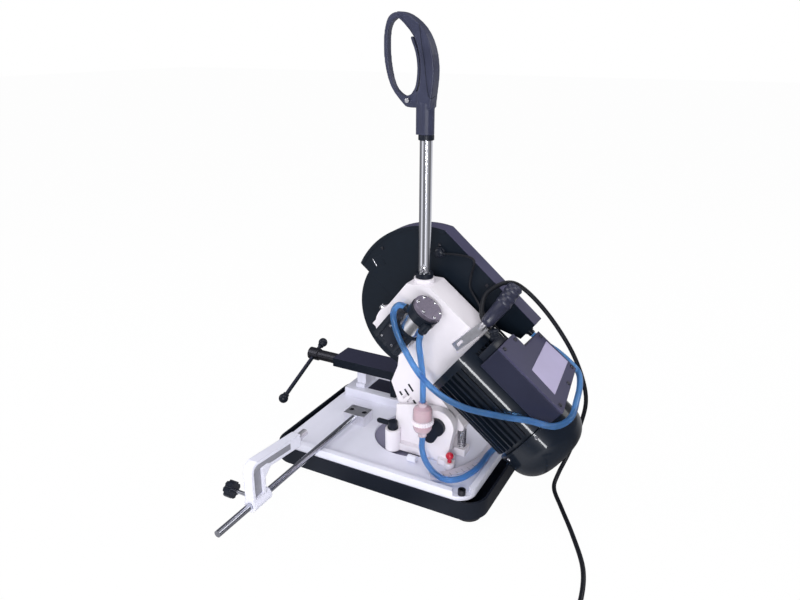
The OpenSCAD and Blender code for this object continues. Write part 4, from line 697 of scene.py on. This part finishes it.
# Plug with a ribbed strain relief, and the tie that holds the coil
PLUG_BODY = (-64, -16.6, -13), (-18, 16.6, 13)
PLUG_WAIST = (-52, -17, -6), (-30, 17, 6)
RELIEF_RIBS = ribs(count=8, radius=4.7, taper=0.1, step=0.6, start=1.5, pitch=2)
RELIEF = [(4.2, 0), (4.6, 1), *RELIEF_RIBS, (6.0, 18)]
PIN = [(2.3, 0), (2.3, 17), (1.2, 19)]
PIN_X, PIN_Y = -63.8, 9.5
plug_m = WORLD @ Matrix.Translation(plug_place)
to_pins = Matrix.Rotation(-math.pi / 2, 4, "Y")
plug_body = box("plug_body", *PLUG_BODY, RUBBER, None, plug_m, bevel=5, segments=3)
relief = lathe("relief", RELIEF, RUBBER, None, plug_m @ to_pins, sides=24, angle=25)
waist = box("plug_waist", *PLUG_WAIST, RIBBED, None, plug_m, bevel=1)
pins = []
for way in (-1, 1):
    pin_m = plug_m @ Matrix.Translation((PIN_X, way * PIN_Y, 0)) @ to_pins
    pins.append(lathe("pin%d" % way, PIN, BRIGHT, None, pin_m, sides=20))
plug = joined("mains_plug", [plug_body, relief, waist, *pins], "swivel")
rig.replaces(plug, "cord_plug")
tie = nodes["cord_tie"]
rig.cord(mains, **run_of(cord_line), diameter=2 * CORD_R * MM, far_end="plug", stiffness="medium",
    lay="coiled", with_pieces=[plug, tie])

# Delivery hose, past the motor and behind the terminal box
HOSE_R, HOSE_SIDES = 5.5, 18
delivery_route = [(88, -182, 150), (88, -190, 150), (96, -200, 146), (109, -195, 136), (117, -170, 120),
    (119, -130, 104), (118, -84, 91), (116, -36, 92), (114, 10, 111), (113, 58, 150), (112, 92, 182),
    (106, 126, 206), (72, 138, 220), (24, 129, 226), (-20, 120, 226), (-58, 106, 222), (-69, 80, 218),
    (-70, 52, 215), (-63, 22, 211), (-60, 2, 210), (-60, -8, 210)]
line = [in_world(p) for p in led(delivery_route, steps=8)]
delivery = tube("delivery_line", line, HOSE_R, HOSE, "head", HOSE_SIDES)
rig.replaces(delivery, "delivery_hose")
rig.slot(delivery, "hose")
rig.cord(delivery, **run_of(line), diameter=0.011, far_end="object", stiffness="medium", lay="loose")

# Upper suction hose, from the pump head to the filter
upper_route = [in_world((110, -137, 158)), in_world((110, -137, 151)), (109, 69, 302), (103, 70, 268),
    (97, 72, 228), (97, 72, 182)]
line = led(upper_route, steps=10)
upper = tube("suction_line_upper", line, HOSE_R, HOSE, None, HOSE_SIDES)
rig.blend(upper, "head", "swivel", start=(0.109, 0.074, 0.318), end=(0.097, 0.072, 0.192))
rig.replaces(upper, "suction_hose_upper")
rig.slot(upper, "hose")
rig.cord(upper, **run_of(line), diameter=0.011, far_end="object", stiffness="medium", lay="taut")

# Lower suction hose, from the filter over the base's rear rim
lower_route = [(97, 72, 112), (97, 72, 104), (98, 72, 86), (105, 82, 68), (124, 108, 62), (135, 138, 62),
    (116, 162, 62), (72, 175, 63), (20, 178, 66), (-10, 190, 68), (-24, 200, 62), (-28, 201, 40),
    (-28, 201, 16)]
line = led(lower_route, steps=8)
lower = tube("suction_line_lower", line, HOSE_R, HOSE, None, HOSE_SIDES)
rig.blend(lower, "swivel", "base", start=(0.105, 0.082, 0.068), end=(-0.010, 0.190, 0.060))
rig.replaces(lower, "suction_hose_lower")
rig.slot(lower, "hose")
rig.cord(lower, **run_of(line), diameter=0.011, far_end="object", stiffness="medium", lay="loose")

# Switch cable from the guard's grommet to the terminal box
WIRE_R = 2.0
GROMMET = [(10.5, 0), (10.5, 3), (8, 3.5), (8, 6), (9, 6.4), (9, 9), (6, 11.6), (2.4, 12)]
GROMMET_PLACE = (-42, -226, 205)
switch_route = [(-34, -219, 211), (-34, -194, 233), (-34, -169, 246), (-33, -154, 222), (-30, -140, 203),
    (-20, -114, 199), (-2, -80, 200), (8, -40, 204), (12, 4, 206)]
line = [in_world(p) for p in smooth(switch_route, steps=8)]
wire = tube("switch_lead", line, WIRE_R, CORD, "head", sides=12)
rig.replaces(wire, "switch_cable")
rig.slot(wire, "rubber")
grommet_m = axis_matrix(GROMMET_PLACE, (1, 0, 0), HEAD)
grommet = lathe("switch_grommet", GROMMET, PLASTIC, "head", grommet_m, sides=28)
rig.cord(wire, **run_of(line), diameter=0.004, far_end="object", stiffness="limp", lay="hanging",
    with_pieces=[grommet])

# Rear handle's rubber sleeve: a mouth, a smooth shank, rolled ribs and a rounded end
HANDLE_ROUTE = [(48.5, -71, 204), (48, -71, 216), (38, -72, 234), (20, -74, 253), (2, -78, 271),
    (-8, -81, 282)]
HANDLE_STEPS = 24
MOUTH_R, SHANK_R, SLEEVE_R = 8.5, 11.5, 13.3
MOUTH_END, SHANK_END, RIBS_END = 0.10, 0.45, 0.93  # shares of the length
RIB_H, RIB_COUNT = 1.5, 4
END_LEAST = 0.02  # keeps the last ring from closing to a point


def sleeve_radius(t):
    """The sleeve's radius at a share of its length."""
    if t < MOUTH_END:
        return MOUTH_R + (SHANK_R - MOUTH_R) * math.sin(t / MOUTH_END * math.pi / 2)
    if t < SHANK_END:
        return SHANK_R + (SLEEVE_R - SHANK_R) * (t - MOUTH_END) / (SHANK_END - MOUTH_END)
    if t < RIBS_END:
        turns = RIB_COUNT * (t - SHANK_END) / (RIBS_END - SHANK_END)
        return SLEEVE_R + RIB_H * (1 - math.cos(2 * math.pi * turns)) / 2
    return SLEEVE_R * math.sqrt(max(END_LEAST, 1 - ((t - RIBS_END) / (1 - RIBS_END)) ** 2))


line = smooth(HANDLE_ROUTE, HANDLE_STEPS)[HANDLE_STEPS:]
radii = [sleeve_radius(i / (len(line) - 1)) for i in range(len(line))]
sleeve = tube("handle_sleeve", line, radii, RIBBED, "head", sides=28, matrix=HEAD)
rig.replaces(sleeve, "rear_handle_grip")
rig.slot(sleeve, "grip_rubber")

# Coolant filter: clear bowl with its hose barbs, pleated core and fluted collar
FILTER_X, FILTER_Y = 97, 72
BOWL = [(6.2, 181.8), (8, 181.4), (8, 175), (11, 173), (15.5, 170.5), (17.6, 166), (18, 150), (18, 134),
    (16.8, 128), (14, 123), (8.4, 120), (8, 119), (8, 112.4), (6.2, 112.2)]
CORE_ROWS = (0.72, 126), (1, 133), (1, 151), (1, 165)
COLLAR_ROWS = (0.92, 138.6), (1, 139.6), (1, 146.4), (0.92, 147.4)
filter_m = WORLD @ Matrix.Translation((FILTER_X, FILTER_Y, 0))
bowl = lathe("filter_bowl", BOWL, CLEAR, None, filter_m, sides=48)
core = fluted("filter_core", CORE_ROWS, crest=12.5, root=10.4, period=2, sides=56, material=CORE,
    matrix=filter_m)
collar = fluted("filter_collar", COLLAR_ROWS, crest=20.5, root=19.5, period=3, sides=72, material=LENS,
    matrix=filter_m, angle=30)
strainer = joined("filter_body", [collar, core, bowl], "swivel")
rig.replaces(strainer, "coolant_filter")
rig.slot(strainer, "filter")

# Terminal box: lid screws and a bare label plate
LID_TOP = 227.9
LID_SCREWS = (82, -18), (34, -16), (-42, 13), (-42, 90), (10, 101), (82, 110)
NAME_PLATE = [(-43, 26), (66, 38), (70, 93), (-46, 79)]
PLATE_LOW, PLATE_HIGH = 227.95, 228.6
lid_screws = [pan_head("lid_screw%d" % k, (x, u, LID_TOP), (0, 0, 1), DARK, HEAD, r=3.6, h=2.2)
    for k, (x, u) in enumerate(LID_SCREWS)]
joined("lid_screws", lid_screws, "head")
plate("name_plate", NAME_PLATE, PLATE_LOW, PLATE_HIGH, LABEL, "head", HEAD, bevel=0.25, segments=1)

# Ribbed glands for the mains cord, the switch cable and a spare
MAINS_RIBS = ribs(count=11, radius=8.6, taper=-0.22, step=-1.1, start=5, pitch=1.6)
MAINS_GLAND = [(9, 0), (9, 4), *MAINS_RIBS, (4.3, 23.6), (4.1, GLAND_L)]
GLAND_NUT_R, GLAND_NUT_H = 11.5, 6
SWITCH_GLAND = [(7, 0), (7, 4), (6, 4.5), (6.4, 8), (5.4, 8.4), (5.8, 12), (4.6, 12.4), (3, 17), (2.2, 17.4)]
SWITCH_GLAND_PLACE = (12, 4, 206)
GLAND_BLOCK = (46, -40, 184), (88, -25.8, 222)
SPARE_RIBS = ribs(count=8, radius=8.8, taper=0, step=-1.2, start=5, pitch=1.6)
SPARE_GLAND = [(9.5, 0), (9.5, 4), *SPARE_RIBS, (5, 18)]
SPARE_GLAND_PLACE = (52, -40, 212)
gland_m = axis_matrix((GLAND_X, GLAND_U, GLAND_V), (0, -1, 0), HEAD)
small_m = axis_matrix(SWITCH_GLAND_PLACE, (0, -1, 0), HEAD)
spare_m = axis_matrix(SPARE_GLAND_PLACE, (0, -0.8, 0.6), HEAD)
gland = lathe("mains_gland", MAINS_GLAND, PLASTIC, None, gland_m, sides=28, angle=25)
nut = plate("gland_nut", hexagon(GLAND_NUT_R), 0, GLAND_NUT_H, PLASTIC, None, gland_m, bevel=0.8)
small = lathe("switch_gland", SWITCH_GLAND, PLASTIC, None, small_m, sides=24, angle=25)
block = box("gland_block", *GLAND_BLOCK, PLASTIC, None, HEAD, bevel=2)
spare = lathe("spare_gland", SPARE_GLAND, PLASTIC, None, spare_m, sides=24, angle=25)
glands = joined("gland_set", [gland, nut, small, block, spare], "head")
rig.replaces(glands, "cable_glands")
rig.slot(glands, "black_plastic")

# Pump: cover screws, bright band, black ring, cover rim, clamp bands and a side plate with its screws
PUMP_X, PUMP_U = 88, -158
COVER_SCREW_R, COVER_TOP = 22.5, 182.9
PUMP_BAND = [(22.5, 128), (23.8, 128.4), (23.8, 157.4), (22.5, 157.8)]
PUMP_RING = [(23, 120.4), (25, 120.8), (25, 127.4), (23, 127.8)]
COVER_RIM = [(28, 172.4), (28.9, 173), (28.9, 175), (28, 175.6)]
CLAMPS_U = -194, -172, -150
CLAMP_HALF = 3
CLAMP_X = 46.2, 98.2
CLAMP_V = 65, 120.6
SIDE_PLATE = (97, -190, 74), (99.6, -157, 110)
SIDE_SCREWS = (-186, 78), (-186, 106), (-161, 78), (-161, 106)
pump_m = HEAD @ Matrix.Translation((PUMP_X, PUMP_U, 0))
pump_bits = [pan_head("cover_screw%d" % k, (x, u, COVER_TOP), (0, 0, 1), BRIGHT, pump_m, r=3.5, h=2.6)
    for k, (x, u) in enumerate(hexagon(COVER_SCREW_R))]
pump_bits.append(lathe("band", PUMP_BAND, BRIGHT, None, pump_m, sides=56))
pump_bits.append(lathe("band_ring", PUMP_RING, BLACK, None, pump_m, sides=56))
pump_bits.append(lathe("cover_rim", COVER_RIM, PLASTIC, None, pump_m, sides=56))
for k, u in enumerate(CLAMPS_U):
    low = (CLAMP_X[0], u - CLAMP_HALF, CLAMP_V[0])
    high = (CLAMP_X[1], u + CLAMP_HALF, CLAMP_V[1])
    pump_bits.append(box("clamp%d" % k, low, high, BLACK, None, HEAD, bevel=0.8))
pump_bits.append(box("side_plate", *SIDE_PLATE, PLASTIC, None, HEAD, bevel=1.0))
for k, (u, v) in enumerate(SIDE_SCREWS):
    screw_place = (SIDE_PLATE[1][0], u, v)
    pump_bits.append(pan_head("side_screw%d" % k, screw_place, (1, 0, 0), STEEL, HEAD, r=2.4, h=1.6))
joined("pump_fittings", pump_bits, "head")

# Hose spigots, each with its place and direction, and the bolt on the gearbox's front
SPIGOT = [(8.5, 0), (8.5, 3), (6.6, 3.4), (6.6, 9), (6.2, 9.4)]
SPIGOTS = [((88, -181, 150), (0, -1, 0)), ((-60, -8.4, 210), (0, 1, 0)), ((110, -137, 158.4), (0, 0, -1))]
GEARBOX_BOLT = (34, -226.6, 77)
spigots = [lathe("spigot%d" % k, SPIGOT, PLASTIC, None, axis_matrix(place, axis, HEAD), sides=24)
    for k, (place, axis) in enumerate(SPIGOTS)]
joined("hose_spigots", spigots, "head")
hex_head("gearbox_bolt", GEARBOX_BOLT, (0, -1, 0), BRIGHT, "head", r=6.5, h=7, matrix=HEAD)

# Blade guard: rolled edge band in a lighter slate, painted light where the rim faces up, raised borders, inspection
# slot and screws
GUARD_X0, GUARD_X1 = -76.5, -42
GUARD_C, GUARD_R = Vector((-172, 95)), 165
ARC_START, ARC_STEP, ARC_POINTS = 116, 2, 39
BAND_START = Vector((-8, 236))
BORDER = 6  # width of the raised borders
BORDER_H = 1
LIP = 0.8  # how far band and borders stand out from the guard's edge
SUNK = 0.2  # how deep borders and tab start below the guard's faces
BAND_SUNK, BAND_OVER_FAR, BAND_OVER_NEAR = 0.3, 0.3, 0.4
SLOT_TAB = [(-320, 87), (-313, 105), (-293, 100), (-303, 82)]
SLOT_TAB_H = 0.8
SLOT_EDGE = [Vector((-319, 87)), Vector((-304, 82))]
SLOT_EDGE_HALF, SLOT_EDGE_LOW, SLOT_EDGE_HIGH = 0.9, 0.7, 1.2
GUARD_SCREWS = (-120, 224), (-236, 214), (-318, 120)
guard_arc = [GUARD_C + Vector(polar(GUARD_R, ARC_START + ARC_STEP * k)) for k in range(ARC_POINTS)]


def ribbon(name, path, low, high, x0, x1, material):
    """A strip along a line in the guard's plane, between two distances from it and two places across."""
    points = []
    for i, p in enumerate(path):
        along = (path[min(i + 1, len(path) - 1)] - path[max(i - 1, 0)]).normalized()
        out = Vector((along.y, -along.x))
        for x, d in ((x0, low), (x1, low), (x1, high), (x0, high)):
            points.append((x, *(p + d * out)))
    return mesh_object(name, points, ring_faces(len(path), 4), material, None, HEAD, 30)


guard_bits = [
    ribbon("edge_band", [BAND_START, *guard_arc], -BAND_SUNK, LIP, GUARD_X0 - BAND_OVER_FAR,
        GUARD_X1 + BAND_OVER_NEAR, LIT_BAND),
    ribbon("near_border", guard_arc, -BORDER, LIP, GUARD_X1 - SUNK, GUARD_X1 + BORDER_H, GUARD),
    ribbon("far_border", guard_arc, -BORDER, LIP, GUARD_X0 - BORDER_H, GUARD_X0 + SUNK, GUARD),
    plate("slot_tab", SLOT_TAB, GUARD_X1 - SUNK, GUARD_X1 + SLOT_TAB_H, GUARD, None, SIDE, bevel=0.3,
        segments=1),
    ribbon("slot_edge", SLOT_EDGE, -SLOT_EDGE_HALF, SLOT_EDGE_HALF, GUARD_X1 + SLOT_EDGE_LOW,
        GUARD_X1 + SLOT_EDGE_HIGH, BRIGHT)]
for k, (u, v) in enumerate(GUARD_SCREWS):
    for x, way in ((GUARD_X1, 1), (GUARD_X0, -1)):
        screw = "guard_screw%d%d" % (k, way + 1)
        guard_bits.append(pan_head(screw, (x, u, v), (way, 0, 0), DARK, HEAD, r=3.2, h=2))
joined("guard_trim", guard_bits, "head")

# Fan cover's rim and screws, and the smooth pads along the motor
MOTOR_X, MOTOR_V = 20, 119
FAN_RIM = [(76.5, 117.4), (78.2, 118), (78.2, 121.4), (76.5, 122)]
FAN_SCREW_ANGLES = -31, 27, 149, 211
FAN_SCREW_R, FAN_SCREW_U = 77.4, 126
PAD_STARTS = 26, 133
PAD_STEP, PAD_POINTS = 1.5, 15
PAD_INNER_R, PAD_OUTER_R = 75.5, 77.9
PAD_FRONT_U, PAD_REAR_U = -50, 116
motor_m = axis_matrix((MOTOR_X, 0, MOTOR_V), (0, 1, 0), HEAD)
fan_bits = [lathe("fan_rim", FAN_RIM, BLACK, None, motor_m, sides=72)]
for k, degrees in enumerate(FAN_SCREW_ANGLES):
    x, v = polar(1, degrees)
    screw_place = (MOTOR_X + FAN_SCREW_R * x, FAN_SCREW_U, MOTOR_V + FAN_SCREW_R * v)
    fan_bits.append(pan_head("fan_screw%d" % k, screw_place, (x, 0, v), BRIGHT, HEAD, r=3.4, h=2.2))
joined("fan_trim", fan_bits, "head")
around_m = HEAD @ Matrix(((1, 0, 0, MOTOR_X), (0, 0, 1, 0), (0, 1, 0, MOTOR_V), (0, 0, 0, 1)))
pads = []
for start in PAD_STARTS:
    turns = [start + PAD_STEP * k for k in range(PAD_POINTS)]
    outline = [polar(PAD_OUTER_R, a) for a in turns] + [polar(PAD_INNER_R, a) for a in turns[::-1]]
    pads.append(plate("pad%d" % start, outline, PAD_FRONT_U, PAD_REAR_U, BLACK, None, around_m))
joined("motor_pads", pads, "head")

# Thin dark sheet on the vise bed, under the moving jaw: painted shadow
BED_SHADOW = (-142, -156, 65.9), (-91, -73, 66.2)
box("bed_shadow_sheet", *BED_SHADOW, VISE, "base", bevel=0.05, segments=1)

# Slots in the arm's near face, each with its centre and length: thin dark plates, painted shade for the slots' insides
ARM_FACE_X = 45.9
VENTS = (-85.5, 1, 17), (-85, -13.5, 15), (-91.5, -25.5, 9), (-61, -16.5, 10)
VENT_HALF, VENT_H = 2, 0.35
VENT_TURN = math.radians(-15)
vents = []
for k, (u, v, length) in enumerate(VENTS):
    vent_m = SIDE @ Matrix.Translation((u, v, ARM_FACE_X)) @ Matrix.Rotation(VENT_TURN, 4, "Z")
    low, high = (-length / 2, -VENT_HALF, 0), (length / 2, VENT_HALF, VENT_H)
    vents.append(box("vent%d" % k, low, high, PLASTIC, None, vent_m))
joined("arm_vents", vents, "head")

# Lever's lock screw with its nut
LOCK_Z, LOCK_OUT = 409, 10.6
LOCK_PIN = [(3.2, 0), (3.2, 6.2), (2.6, 6.8), (1.4, 6.8), (1.4, 5)]
outward = Vector((0.97, 0.24, 0))
rod_low, rod_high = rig.box("lever_rod")
rod_x = (rod_low.x + rod_high.x) / 2 / MM
rod_y = (rod_low.y + rod_high.y) / 2 / MM
lock = (rod_x + LOCK_OUT * outward.x, rod_y + LOCK_OUT * outward.y, LOCK_Z)
lock_nut = hex_head("lock_nut", lock, outward, BRIGHT, None, r=5.6, h=3.4)
lock_pin = lathe("lock_pin", LOCK_PIN, STEEL, None, axis_matrix(lock, outward), sides=20)
joined("lever_lock_screw", [lock_nut, lock_pin], "head")

# Lever's grip with rounded edges, its entry ring, seam and pivot pin
GRIP_CELL, GRIP_PASSES = 1.2, 6
RING_H, RING_OVERLAP = 9.5, 0.4
RING = [(12.5, 0), (13.6, 0.6), (13.6, 8), (12.8, 8.6), (12.8, RING_H + RING_OVERLAP)]
SEAM = (26, 817), (31, 784), (35, 765), (44, 708), (57, 708)
SEAM_R, SEAM_SUNK = 0.45, 0.1
PIVOT = [(4, 0), (4, 1.2), (3.4, 1.8), (0.4, 1.8)]
PIVOT_FRONT, PIVOT_Z, PIVOT_SUNK = 30.2, 699, 0.8


def rounded_copy(name, node, cell, passes, material):
    """A copy of a CAD node with every edge rounded off."""
    source = nodes[node]
    mesh = source.data.copy()
    mesh.transform(source.matrix_world)
    mesh.materials.clear()
    o = bpy.data.objects.new(name, mesh)
    scene.collection.objects.link(o)
    grid = o.modifiers.new("grid", "REMESH")
    grid.mode = "VOXEL"
    grid.voxel_size = cell * MM
    grid.use_smooth_shade = True
    relax = o.modifiers.new("relax", "SMOOTH")
    relax.factor = 0.5
    relax.iterations = passes
    made = bpy.data.meshes.new_from_object(o.evaluated_get(bpy.context.evaluated_depsgraph_get()))
    o.modifiers.clear()
    o.data = made
    made.name = name
    made.materials.clear()
    made.materials.append(material)
    made.shade_smooth()
    return o


handle = rounded_copy("handle_grip", "grip", GRIP_CELL, GRIP_PASSES, GRIP)
grip_low, grip_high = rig.box("grip")
grip_side = grip_high.x / MM
grip_foot = grip_low.z / MM
cut = bmesh.new()
cut.from_mesh(handle.data)
bmesh.ops.bisect_plane(cut, geom=cut.verts[:] + cut.edges[:] + cut.faces[:],
    plane_co=(0, 0, (grip_foot + RING_H) * MM), plane_no=(0, 0, 1), clear_inner=True)
bmesh.ops.holes_fill(cut, edges=[e for e in cut.edges if e.is_boundary], sides=0)
cut.to_mesh(handle.data)
cut.free()
ring = lathe("entry_ring", RING, PLASTIC, None, WORLD @ Matrix.Translation((rod_x, rod_y, grip_foot)))
seam_line = smooth([(grip_side - SEAM_SUNK, y, z) for y, z in SEAM], steps=6)
seam = tube("seam", seam_line, SEAM_R, PLASTIC, None, sides=8)
pivot_m = axis_matrix((grip_side - PIVOT_SUNK, rod_y - PIVOT_FRONT, PIVOT_Z), (1, 0, 0))
pivot = lathe("pivot_pin", PIVOT, BRIGHT, None, pivot_m, sides=24)
handle = joined("handle_grip", [handle, pivot, ring, seam], "head")
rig.replaces(handle, "grip")
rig.slot(handle, "grip_rubber")

# Ticks of the mitre scale, spread evenly over its ledge
SWIVEL_Y = 10
LEDGE_R, LEDGE_X = 170, 137.5  # the ledge starts where its outer radius reaches this X
LEDGE_END = 100
TICK = (158, -0.36, 53.45), (166.9, 0.36, 53.95)
TICK_GAPS = 14
ledge_start = math.degrees(math.acos(LEDGE_X / LEDGE_R))
ticks = []
for k in range(1, TICK_GAPS):
    turn = math.radians(ledge_start + (LEDGE_END - ledge_start) * k / TICK_GAPS)
    tick_m = WORLD @ Matrix.Translation((0, SWIVEL_Y, 0)) @ Matrix.Rotation(turn, 4, "Z")
    ticks.append(box("tick%d" % k, *TICK, DARK, None, tick_m))
joined("scale_ticks", ticks, "base")

# Stop arm's grey panels on both sides, painted shade for the shadowed web, and the bright sleeve on the stop knob's
# stud
STOP_Y = -120
POST_PANEL = (330.2, 74.2, 3.9), (351.8, 125.8, 4.2)
BEAM_PANEL = [(351.5, 126), (351.5, 130), (349, 133), (345, 135.2), (340, 136), (252, 127.2), (252, 115.6),
    (309, 121.4), (319, 126)]
BEAM_LOW, BEAM_HIGH = 8.9, 9.2
KNOB_SLEEVE = [(3.0, 0), (3.5, 0.6), (3.5, 45), (3.0, 45.5)]
KNOB_SLEEVE_PLACE = (336, -172, 62)
for way, name in ((1, "near"), (-1, "far")):
    stop_m = WORLD @ Matrix(((1, 0, 0, 0), (0, 0, way, STOP_Y), (0, 1, 0, 0), (0, 0, 0, 1)))
    post = box("post_panel", *POST_PANEL, SHADE_GREY, None, stop_m)
    beam = plate("beam_panel", BEAM_PANEL, BEAM_LOW, BEAM_HIGH, SHADE_GREY, None, stop_m)
    joined("stop_shade_panels_" + name, [post, beam], "stop")
knob_m = axis_matrix(KNOB_SLEEVE_PLACE, (0, 1, 0))
lathe("knob_sleeve", KNOB_SLEEVE, CHROME_X, "stop_clamp", knob_m, sides=28)


# Node helper for the floor and the world
class Tree:
    """A node tree that is built up from nothing, with the kinds of rays at hand."""
    def __init__(self, owner, output):
        owner.use_nodes = True
        self.tree = owner.node_tree
        self.tree.nodes.clear()
        self.out = self.tree.nodes.new(output)
        self.rays = self.tree.nodes.new("ShaderNodeLightPath").outputs

    def add(self, kind, inputs=(), **settings):
        made = self.tree.nodes.new(kind)
        for key, value in settings.items():
            setattr(made, key, value)
        for key, value in dict(inputs).items():
            if isinstance(value, bpy.types.NodeSocket):
                self.tree.links.new(value, made.inputs[key])
            else:
                made.inputs[key].default_value = value
        return made

    def node(self, kind, inputs=(), **settings):
        return self.add(kind, inputs, **settings).outputs[0]

    def finish(self, surface):
        self.tree.links.new(surface, self.out.inputs["Surface"])


# Floor: white to the camera, pale to other rays, and light and dark sectors in what mirrors it
FLOOR_HALF, FLOOR_Z = 14, -0.0004
FLOOR_GLOW = 0.975  # share of white in what the camera sees
SECTOR_LIGHT, SECTOR_BLUE = 1.15, 1.04
# Where each sector starts, as a share of the turn, and how bright it is
SECTORS = [(0.00, 0.30), (0.30, 0.10), (0.40, 0.85), (0.46, 0.20), (0.55, 0.12), (0.60, 0.95), (0.68, 0.30),
    (0.80, 0.08), (0.92, 0.60)]
floor_mat = bpy.data.materials.new("floor")
t = Tree(floor_mat, "ShaderNodeOutputMaterial")
pale = t.node("ShaderNodeBsdfDiffuse", {"Color": (0.92, 0.92, 0.92, 1)})
glow = t.node("ShaderNodeEmission", {"Color": (1, 1, 1, 1)})
straight = {0: t.rays["Is Camera Ray"], 1: t.rays["Is Transmission Ray"]}
seen = t.node("ShaderNodeMath", straight, operation="MAXIMUM")
share = t.node("ShaderNodeMath", {0: seen, 1: FLOOR_GLOW}, operation="MULTIPLY")
plain = t.node("ShaderNodeMixShader", {0: share, 1: pale, 2: glow})
spot = t.add("ShaderNodeTexCoord").outputs["Object"]
sweep = t.add("ShaderNodeTexGradient", {"Vector": spot}, gradient_type="RADIAL").outputs["Fac"]
bands = t.add("ShaderNodeValToRGB", {"Fac": sweep})
while len(bands.color_ramp.elements) < len(SECTORS):
    bands.color_ramp.elements.new(0.5)
for element, (at, level) in zip(bands.color_ramp.elements, SECTORS):
    element.position = at
    element.color = (level, level, level * SECTOR_BLUE, 1)
mirrored = t.node("ShaderNodeEmission", {"Color": bands.outputs["Color"], "Strength": SECTOR_LIGHT})
t.finish(t.node("ShaderNodeMixShader", {0: t.rays["Is Glossy Ray"], 1: plain, 2: mirrored}))
floor_corners = [(x * FLOOR_HALF, y * FLOOR_HALF, 0) for x, y in ((-1, -1), (1, -1), (1, 1), (-1, 1))]
floor_mesh = bpy.data.meshes.new("floor")
floor_mesh.from_pydata(floor_corners, [], [(0, 1, 2, 3)])
floor_mesh.materials.append(floor_mat)
floor = bpy.data.objects.new("floor", floor_mesh)
scene.collection.objects.link(floor)
floor.location.z = FLOOR_Z
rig.stage(floor)

# World: white to the camera, dim in mirrors, and a soft light for the rest
world = bpy.data.worlds.new("studio")
scene.world = world
t = Tree(world, "ShaderNodeOutputWorld")
ambient = t.node("ShaderNodeBackground", {"Color": (0.95, 0.96, 1.0, 1), "Strength": 0.42})
white = t.node("ShaderNodeBackground", {"Color": (1, 1, 1, 1), "Strength": 1.0})
dim = t.node("ShaderNodeBackground", {"Color": (0.86, 0.88, 1.0, 1), "Strength": 0.16})
lit = t.node("ShaderNodeMixShader", {0: t.rays["Is Glossy Ray"], 1: ambient, 2: dim})
t.finish(t.node("ShaderNodeMixShader", {0: t.rays["Is Camera Ray"], 1: lit, 2: white}))


# Lights, in metres and watts
def softbox(name, place, target, size, power, color=(1, 1, 1), along=None, glossy=True):
    """An area lamp that faces a point, with its long side along a direction where one is given."""
    light = bpy.data.lights.new(name, "AREA")
    light.shape = "RECTANGLE"
    light.size, light.size_y = size
    light.energy = power
    light.color = color
    o = bpy.data.objects.new(name, light)
    o.visible_glossy = glossy
    scene.collection.objects.link(o)
    back = (Vector(place) - Vector(target)).normalized()
    side = Vector(along) if along else Vector((0, 0, 1)).cross(back)
    side = (side - side.dot(back) * back).normalized()
    o.matrix_world = Matrix.Translation(place) @ Matrix((side, back.cross(side), back)).transposed().to_4x4()


MIDDLE, REAR = (0, 0, 0.3), (0, 0.1, 0.3)
MOTOR = (0.088, 0.214, 0.219)
SHAFT = (0, 0.786, -0.618)  # the motor's direction
softbox("top_light", (0.1, 0.2, 2.3), MIDDLE, size=(1.8, 1.8), power=18, color=(1, 0.985, 1.0))
softbox("front_light", (0.9, -1.9, 1.3), MIDDLE, size=(1.4, 1.0), power=14)
softbox("side_light", (2.3, 0.8, 0.95), REAR, size=(1.3, 1.1), power=12, glossy=False)
softbox("back_light", (-1.7, 1.6, 1.7), REAR, size=(1.2, 1.0), power=12)
softbox("strip_light", (1.74, 0.73, 0.66), MOTOR, size=(1.3, 0.13), power=17, color=(0.96, 0.97, 1),
    along=SHAFT)

scene.view_settings.view_transform = "Standard"

visual_low, visual_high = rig.bounds()
with open("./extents.json", "w") as f:
    json.dump({"cad": [list(cad_low), list(cad_high)], "visual": [list(visual_low), list(visual_high)]}, f)
